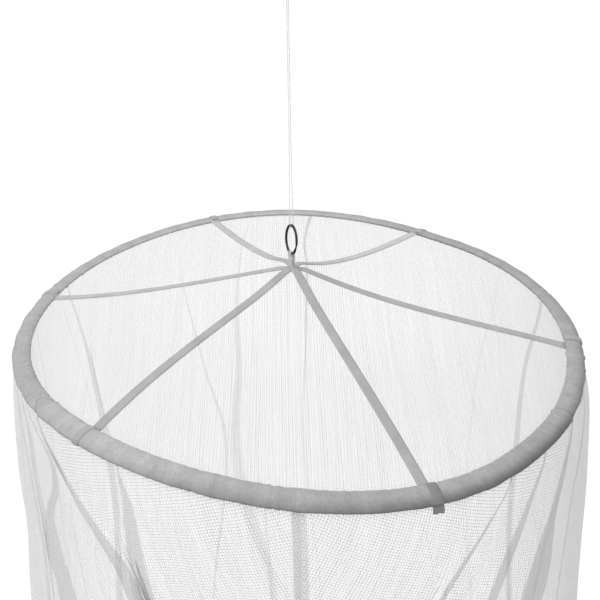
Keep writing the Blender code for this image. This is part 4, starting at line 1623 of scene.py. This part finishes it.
def addLoop(material):
    # The tab goes up through the ring and down again, its width along the wire at the top
    along, normal, heldUp = ringAxes()
    level = np.array((along[0], along[1], 0.0)) / math.hypot(along[0], along[1])
    levelSide = np.array((level[1], -level[0], 0.0))
    wire = ring["outer"] - ring["wire"]
    hook = upward * ringHeight - heldUp * wire
    foot = crownHeight + tape["lift"] + 2 * tape["step"] + loop["footRise"]
    legs = np.linspace(0, 1, loop["legSteps"] + 1)[:-1]
    route = [(-1, share, None) for share in legs]
    route += [(0, 1.0, angle) for angle in np.linspace(180, 0, loop["bendSteps"])]
    route += [(1, share, None) for share in legs[::-1]]
    rows, paintedLightLevels = [], []
    for way, share, angle in route:
        side = levelSide * (1 - share) + normal * share
        widthWay = level * (1 - share) + along * share
        crossRow = []
        narrow = 1 - loop["waist"] * math.sin(math.pi * min(share, 0.97)) ** 2 * (1 - share)
        for edge in np.linspace(-1, 1, loop["across"]):
            aside = edge * loop["width"] / 2 * narrow
            rise = wire - math.sqrt(wire**2 - aside**2)
            if angle is None:
                reach = loop["bend"] - (1 - share) * (loop["bend"] - loop["foot"])
                point = np.array((hook[0] * share, hook[1] * share, foot + (hook[2] - foot) * share))
                bulge = loop["bulge"] * math.sin(math.pi * share)
                point = point + side * way * (reach + bulge) + heldUp * rise * share
            else:
                turn = math.radians(angle)
                point = hook + side * loop["bend"] * math.cos(turn)
                point = point + heldUp * (loop["bend"] * math.sin(turn) + rise)
            crossRow.append(point + widthWay * aside)
        rows.append(crossRow)
        paintedLightLevels.append(loop["paintedLightLevels"][way])
    rows = np.array(rows)
    tangent = np.gradient(rows[:, loop["across"] // 2], axis=0)
    outward = unit(np.cross(tangent, level))
    points = bothFaces(rows, outward[:, None] * loop["thickness"] / 2) + crownAxis
    # The legs' painted light, eased into the bend
    tone = np.convolve(np.pad(paintedLightLevels, 3, mode="edge"), np.ones(7) / 7, mode="valid")
    tone = np.repeat(tone[:, None], points.shape[1], 1)
    mesh = gridMesh("crown_tab", points, roundColumns=True, capped=True, tone=tone)
    addPiece("crown_tab", mesh, material, ["crown_loop"])


line = {
    "radius": 0.00045,
    "spacing": 0.0017,
    "gap": 0.00035,
    "steps": 14,
    "bendSteps": 11,
    "knotDrop": 0.0127,
    "knotHalf": 0.0045,
}


def lineRoute():
    _, normal, heldUp = ringAxes()
    side = -normal
    levelSide = np.array((side[0], side[1], 0.0)) / math.hypot(side[0], side[1])
    top = np.array((crownAxis[0], 0, ringHeight + crownAxis[2])) + heldUp * (ring["outer"] - ring["wire"])
    bend = ring["wire"] + line["gap"] + line["radius"]
    start = np.array((0, 0, -line["knotDrop"] - line["knotHalf"] - line["gap"]))
    down = []
    for step in range(line["steps"]):
        share = step / line["steps"]
        spread = line["spacing"] / 2 + (bend - line["spacing"] / 2) * float(smoothStep(share**3))
        down.append((share, (levelSide * (1 - share) + side * share) * spread))
    points = [start * (1 - s) + top * s - apart for s, apart in down]
    for degrees in np.linspace(180, 360, line["bendSteps"]):
        turn = math.radians(degrees)
        points.append(top + side * bend * math.cos(turn) + heldUp * bend * math.sin(turn))
    points += [start * (1 - s) + top * s + apart for s, apart in reversed(down)]
    return points


def addLine(material):
    route = lineRoute()
    curve = bpy.data.curves.new("clear_line", "CURVE")
    curve.dimensions = "3D"
    curve.bevel_depth = line["radius"]
    curve.bevel_resolution = 4
    curve.use_fill_caps = True
    spline = curve.splines.new("POLY")
    spline.points.add(len(route) - 1)
    for place, point in zip(spline.points, route):
        place.co = (*map(float, point), 1.0)
    spline.use_smooth = True
    piece = addPiece("clear_line", curve, material, ["hanging_line"])
    length = float(sum(np.linalg.norm(b - a) for a, b in zip(route, route[1:])))
    return piece, route, length


knot = {
    "radius": 0.0021,
    "wrapRadius": 0.00062,
    "turns": 6.0,
    "waist": 0.72,
    "coreRadius": 0.0015,
    "coreHalf": 0.0044,
    "eyeRadius": 0.0055,
    "eyeWire": 0.0007,
    "guide": (0.13, 0.97, 0.21),  # a way that none of its threads runs
}


def tubePoints(path, radius, sides, closed=False):
    path = np.asarray(path, float)
    if closed:
        tangent = np.roll(path, -1, 0) - np.roll(path, 1, 0)
    else:
        tangent = np.gradient(path, axis=0)
    tangent = unit(tangent)
    first = unit(np.cross(tangent, knot["guide"]))
    second = np.cross(tangent, first)
    turn = np.linspace(0, 2 * math.pi, sides, endpoint=False)[None, :, None]
    return path[:, None] + (first[:, None] * np.cos(turn) + second[:, None] * np.sin(turn)) * radius


def joinMeshes(name, parts):
    points, faces, uvs, base = [], [], [], 0
    for grid, roundRows, capped in parts:
        rows, columns = grid.shape[:2]
        made, places = gridFaces(rows, columns, roundRows, True)
        uv = gridUv(grid, roundRows, True)[places[..., 0], places[..., 1]].reshape(-1, 2)
        faces += (made + base).tolist()
        uvs.append(uv)
        if capped:
            for start in (0, (rows - 1) * columns):
                faces.append([base + start + k for k in range(columns)])
                uvs.append(np.zeros((columns, 2)))
        points.append(grid.reshape(-1, 3))
        base += rows * columns
    return meshFrom(name, np.concatenate(points), faces, np.concatenate(uvs))


def addKnot(material):
    # A turned barrel knot round the two strands, and the eye above it that the hook goes through
    centre = np.array((0, 0, -line["knotDrop"]))
    turns = np.linspace(0, 2 * math.pi * knot["turns"], 150)
    share = turns / turns[-1]
    waist = knot["waist"]
    reach = knot["radius"] * (waist + (1 - waist) * np.sin(math.pi * share) ** 0.5)
    height = (share - 0.5) * 2 * (line["knotHalf"] - knot["wrapRadius"])
    wraps = centre + np.stack([reach * np.cos(turns), reach * np.sin(turns), height], -1)
    core = centre + upward * np.linspace(-1, 1, 9)[:, None] * knot["coreHalf"]
    eyeDrop = knot["eyeRadius"] - knot["eyeWire"]
    angles = np.linspace(0, 2 * math.pi, 64, endpoint=False)
    eye = np.stack([np.cos(angles), 0 * angles, np.sin(angles)], -1) * knot["eyeRadius"] - upward * eyeDrop
    parts = [
        (tubePoints(wraps, knot["wrapRadius"], 10), False, True),
        (tubePoints(core, knot["coreRadius"], 12), False, True),
        (tubePoints(eye, knot["eyeWire"], 10, closed=True), True, False),
    ]
    mesh = joinMeshes("eye_knot", parts)
    return addPiece("eye_knot", mesh, material, ["line_knot"])


stitching = {
    "seamPitch": 0.0034,
    "hemPitch": 0.0060,
    "tapePitch": 0.0030,
    "radius": 0.00016,
    "fill": 0.66,
    "least": 0.85,
    "most": 1.1,
    "tapeInset": 0.55,  # share of a tape's outer strip that its seam lies in from the edge
    "tapeLift": 0.00004,
    "seams": ((0.0086, -0.0036), (-0.0101, 0.0006)),  # reach and rise beside the hoop's line
}


def scatterTree(name, floatInputs, kinds):
    # A tree that takes geometry and some named sizes and sets small shapes on points, with the
    # identifier of each size
    tree = bpy.data.node_groups.new(name, "GeometryNodeTree")
    face = tree.interface
    face.new_socket("Geometry", in_out="INPUT", socket_type="NodeSocketGeometry")
    sockets = [face.new_socket(label, in_out="INPUT", socket_type="NodeSocketFloat") for label in floatInputs]
    face.new_socket("Geometry", in_out="OUTPUT", socket_type="NodeSocketGeometry")
    shared = {
        "given": "NodeGroupInput",
        "place": "GeometryNodeInstanceOnPoints",
        "real": "GeometryNodeRealizeInstances",
        "paint": "GeometryNodeSetMaterial",
        "out": "NodeGroupOutput",
    }
    nodes = addNodes(tree, shared | kinds)
    last = (("place", 0, "real", 0), ("real", 0, "paint", "Geometry"), ("paint", 0, "out", 0))
    addWires(tree, nodes, last)
    return tree, nodes, [socket.identifier for socket in sockets]


def stitchTree(name, material):
    # Small rounded stitches laid end to end along every path of the host
    kinds = {
        "toCurve": "GeometryNodeMeshToCurve",
        "even": "GeometryNodeResampleCurve",
        "tangent": "GeometryNodeInputTangent",
        "align": "FunctionNodeAlignRotationToVector",
        "grain": "GeometryNodeMeshUVSphere",
        "stitchLength": "ShaderNodeMath",
        "halfLength": "ShaderNodeMath",
        "size": "ShaderNodeCombineXYZ",
        "shape": "GeometryNodeTransform",
        "uneven": "FunctionNodeRandomValue",
    }
    labels = ("Stitch pitch", "Thread radius", "Stitch share")
    tree, nodes, identifiers = scatterTree(name, labels, kinds)
    nodes["even"].mode = "LENGTH"
    nodes["align"].axis = "X"
    nodes["stitchLength"].operation = "MULTIPLY"
    nodes["halfLength"].operation = "MULTIPLY"
    nodes["uneven"].data_type = "FLOAT"
    setInputs(nodes["grain"], {"Segments": 6, "Rings": 4, "Radius": 1.0})
    setInputs(nodes["halfLength"], {1: 0.5})
    setInputs(nodes["uneven"], {"Min": stitching["least"], "Max": stitching["most"], "Seed": 7})
    setInputs(nodes["paint"], {"Material": material})
    wires = (
        ("given", "Geometry", "toCurve", 0),
        ("toCurve", 0, "even", "Curve"),
        ("given", "Stitch pitch", "even", "Length"),
        ("given", "Stitch pitch", "stitchLength", 0),
        ("given", "Stitch share", "stitchLength", 1),
        ("stitchLength", 0, "halfLength", 0),
        ("halfLength", 0, "size", "X"),
        ("given", "Thread radius", "size", "Y"),
        ("given", "Thread radius", "size", "Z"),
        ("grain", "Mesh", "shape", "Geometry"),
        ("size", 0, "shape", "Scale"),
        ("even", 0, "place", "Points"),
        ("shape", 0, "place", "Instance"),
        ("tangent", 0, "align", "Vector"),
        ("align", 0, "place", "Rotation"),
        ("uneven", 1, "place", "Scale"),
    )
    addWires(tree, nodes, wires)
    return tree, identifiers


def grownPiece(name, host, tree, values, material):
    # The tree's result on the host as a plain mesh, with the modifier and the host taken away
    modifier = host.modifiers.new("grown", "NODES")
    modifier.node_group = tree
    for identifier, value in values:
        modifier[identifier] = value
    graph = bpy.context.evaluated_depsgraph_get()
    made = bpy.data.meshes.new_from_object(host.evaluated_get(graph))
    made.name = name
    host.modifiers.clear()
    bpy.data.objects.remove(host)
    made.materials.clear()
    return addPiece(name, made, material, [])


def addStitches(name, paths, pitch, material):
    points, edges = [], []
    for path, closed in paths:
        base = len(points)
        points += np.asarray(path).tolist()
        edges += [(base + k, base + k + 1) for k in range(len(path) - 1)]
        if closed:
            edges.append((base + len(path) - 1, base))
    mesh = bpy.data.meshes.new(name + "_paths")
    mesh.from_pydata(points, edges, [])
    host = newObject(name + "_paths", mesh)
    tree, identifiers = stitchTree(name + "_tree", material)
    values = zip(identifiers, (pitch, stitching["radius"], stitching["fill"]))
    piece = grownPiece(name, host, tree, values, material)
    piece.data.shade_smooth()
    return piece


fuzz = {
    "density": 110000.0,
    "length": 0.0017,
    "radius": 0.00007,
    "lean": 1.1,
    "fullTurn": 6.28,
    "least": 0.4,
    "most": 1.2,
}


def fuzzTree(material):
    # Short fibres standing off the cloth, each leaning its own way
    kinds = {
        "scatter": "GeometryNodeDistributePointsOnFaces",
        "fibre": "GeometryNodeMeshCone",
        "lean": "FunctionNodeRandomValue",
        "leant": "FunctionNodeRotateRotation",
        "size": "FunctionNodeRandomValue",
    }
    labels = ("Fibre density", "Fibre length", "Fibre radius")
    tree, nodes, identifiers = scatterTree("fuzz_tree", labels, kinds)
    nodes["fibre"].fill_type = "NONE"
    nodes["lean"].data_type = "FLOAT_VECTOR"
    nodes["leant"].rotation_space = "LOCAL"
    nodes["size"].data_type = "FLOAT"
    lean = fuzz["lean"]
    setInputs(nodes["scatter"], {"Seed": 5})
    setInputs(nodes["fibre"], {"Vertices": 3, "Radius Top": 0.0})
    setInputs(nodes["lean"], {"Min": (-lean, -lean, 0.0), "Max": (lean, lean, fuzz["fullTurn"]), "Seed": 3})
    setInputs(nodes["size"], {"Min": fuzz["least"], "Max": fuzz["most"], "Seed": 9})
    setInputs(nodes["paint"], {"Material": material})
    wires = (
        ("given", "Geometry", "scatter", "Mesh"),
        ("given", "Fibre density", "scatter", "Density"),
        ("given", "Fibre length", "fibre", "Depth"),
        ("given", "Fibre radius", "fibre", "Radius Bottom"),
        ("scatter", "Points", "place", "Points"),
        ("scatter", "Rotation", "leant", "Rotation"),
        ("lean", 0, "leant", "Rotate By"),
        ("leant", 0, "place", "Rotation"),
        ("size", 1, "place", "Scale"),
        ("fibre", "Mesh", "place", "Instance"),
    )
    addWires(tree, nodes, wires)
    return tree, identifiers


def addFuzz(sleevePiece, material):
    host = newObject("fuzz_host", sleevePiece.data.copy())
    tree, identifiers = fuzzTree(material)
    values = zip(identifiers, (fuzz["density"], fuzz["length"], fuzz["radius"]))
    grownPiece("sleeve_fuzz", host, tree, values, material)


def seamPaths():
    degrees = np.linspace(0, 360, 720, endpoint=False)
    seams = [hoopPoint(degrees, reach, rise + 0 * degrees) for reach, rise in stitching["seams"]]
    return [(seam + hoopMiddle, True) for seam in seams]


def tapePaths(tapes):
    paths = []
    for rows in tapes:
        lift = upward * (tape["thickness"] / 2 + stitching["tapeLift"])
        inset = stitching["tapeInset"]
        for edge, inner in ((0, 1), (-1, -2)):
            seam = rows[:, inner] * inset + rows[:, edge] * (1 - inset)
            paths.append((seam[4:-4] + lift + hoopMiddle, False))
    return paths


print("camera, light and floor")
addCamera()
addStudio()

print("materials")
wallNet = makeNet("wall_mesh", netWeave["wallPitch"])
roofNet = makeNet("roof_mesh", netWeave["roofPitch"])
sleeveCloth = makeSleeveCloth()
tapeCloth = makeTapeCloth("tape_weave")
litSideTapeCloth = makeTapeCloth("side_tape_painted_light")
shadedTailCloth = makeTapeCloth("tape_end_painted_shade")
thread = makeThread()
darkSteel = makeSteel("dark_steel_wire")
springSteel = makeSteel("spring_steel_wire")
clearLine = makeClearLine()

print("line and knot")
linePiece, route, lineLength = addLine(clearLine)
knotPiece = addKnot(clearLine)

print("ring and tab")
addRing(darkSteel)
addLoop(tapeCloth)

print("net wall and roof")
wallPiece, hemSeam = addWall(wallNet)
addRoof(roofNet)

print("sleeve, tapes and turned ends")
sleevePiece = addSleeve(sleeveCloth)
addFuzz(sleevePiece, thread)
tapes = addTapes(tapeCloth, litSideTapeCloth)
addTurns(tapeCloth, shadedTailCloth)

print("stitches")
addStitches("seam_stitches", seamPaths(), stitching["seamPitch"], thread)
addStitches("tape_stitches", tapePaths(tapes), stitching["tapePitch"], thread)
hemStitches = addStitches("hem_stitches", [(hemSeam, True)], stitching["hemPitch"], thread)

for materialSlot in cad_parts["hoop"].material_slots:
    materialSlot.material = springSteel
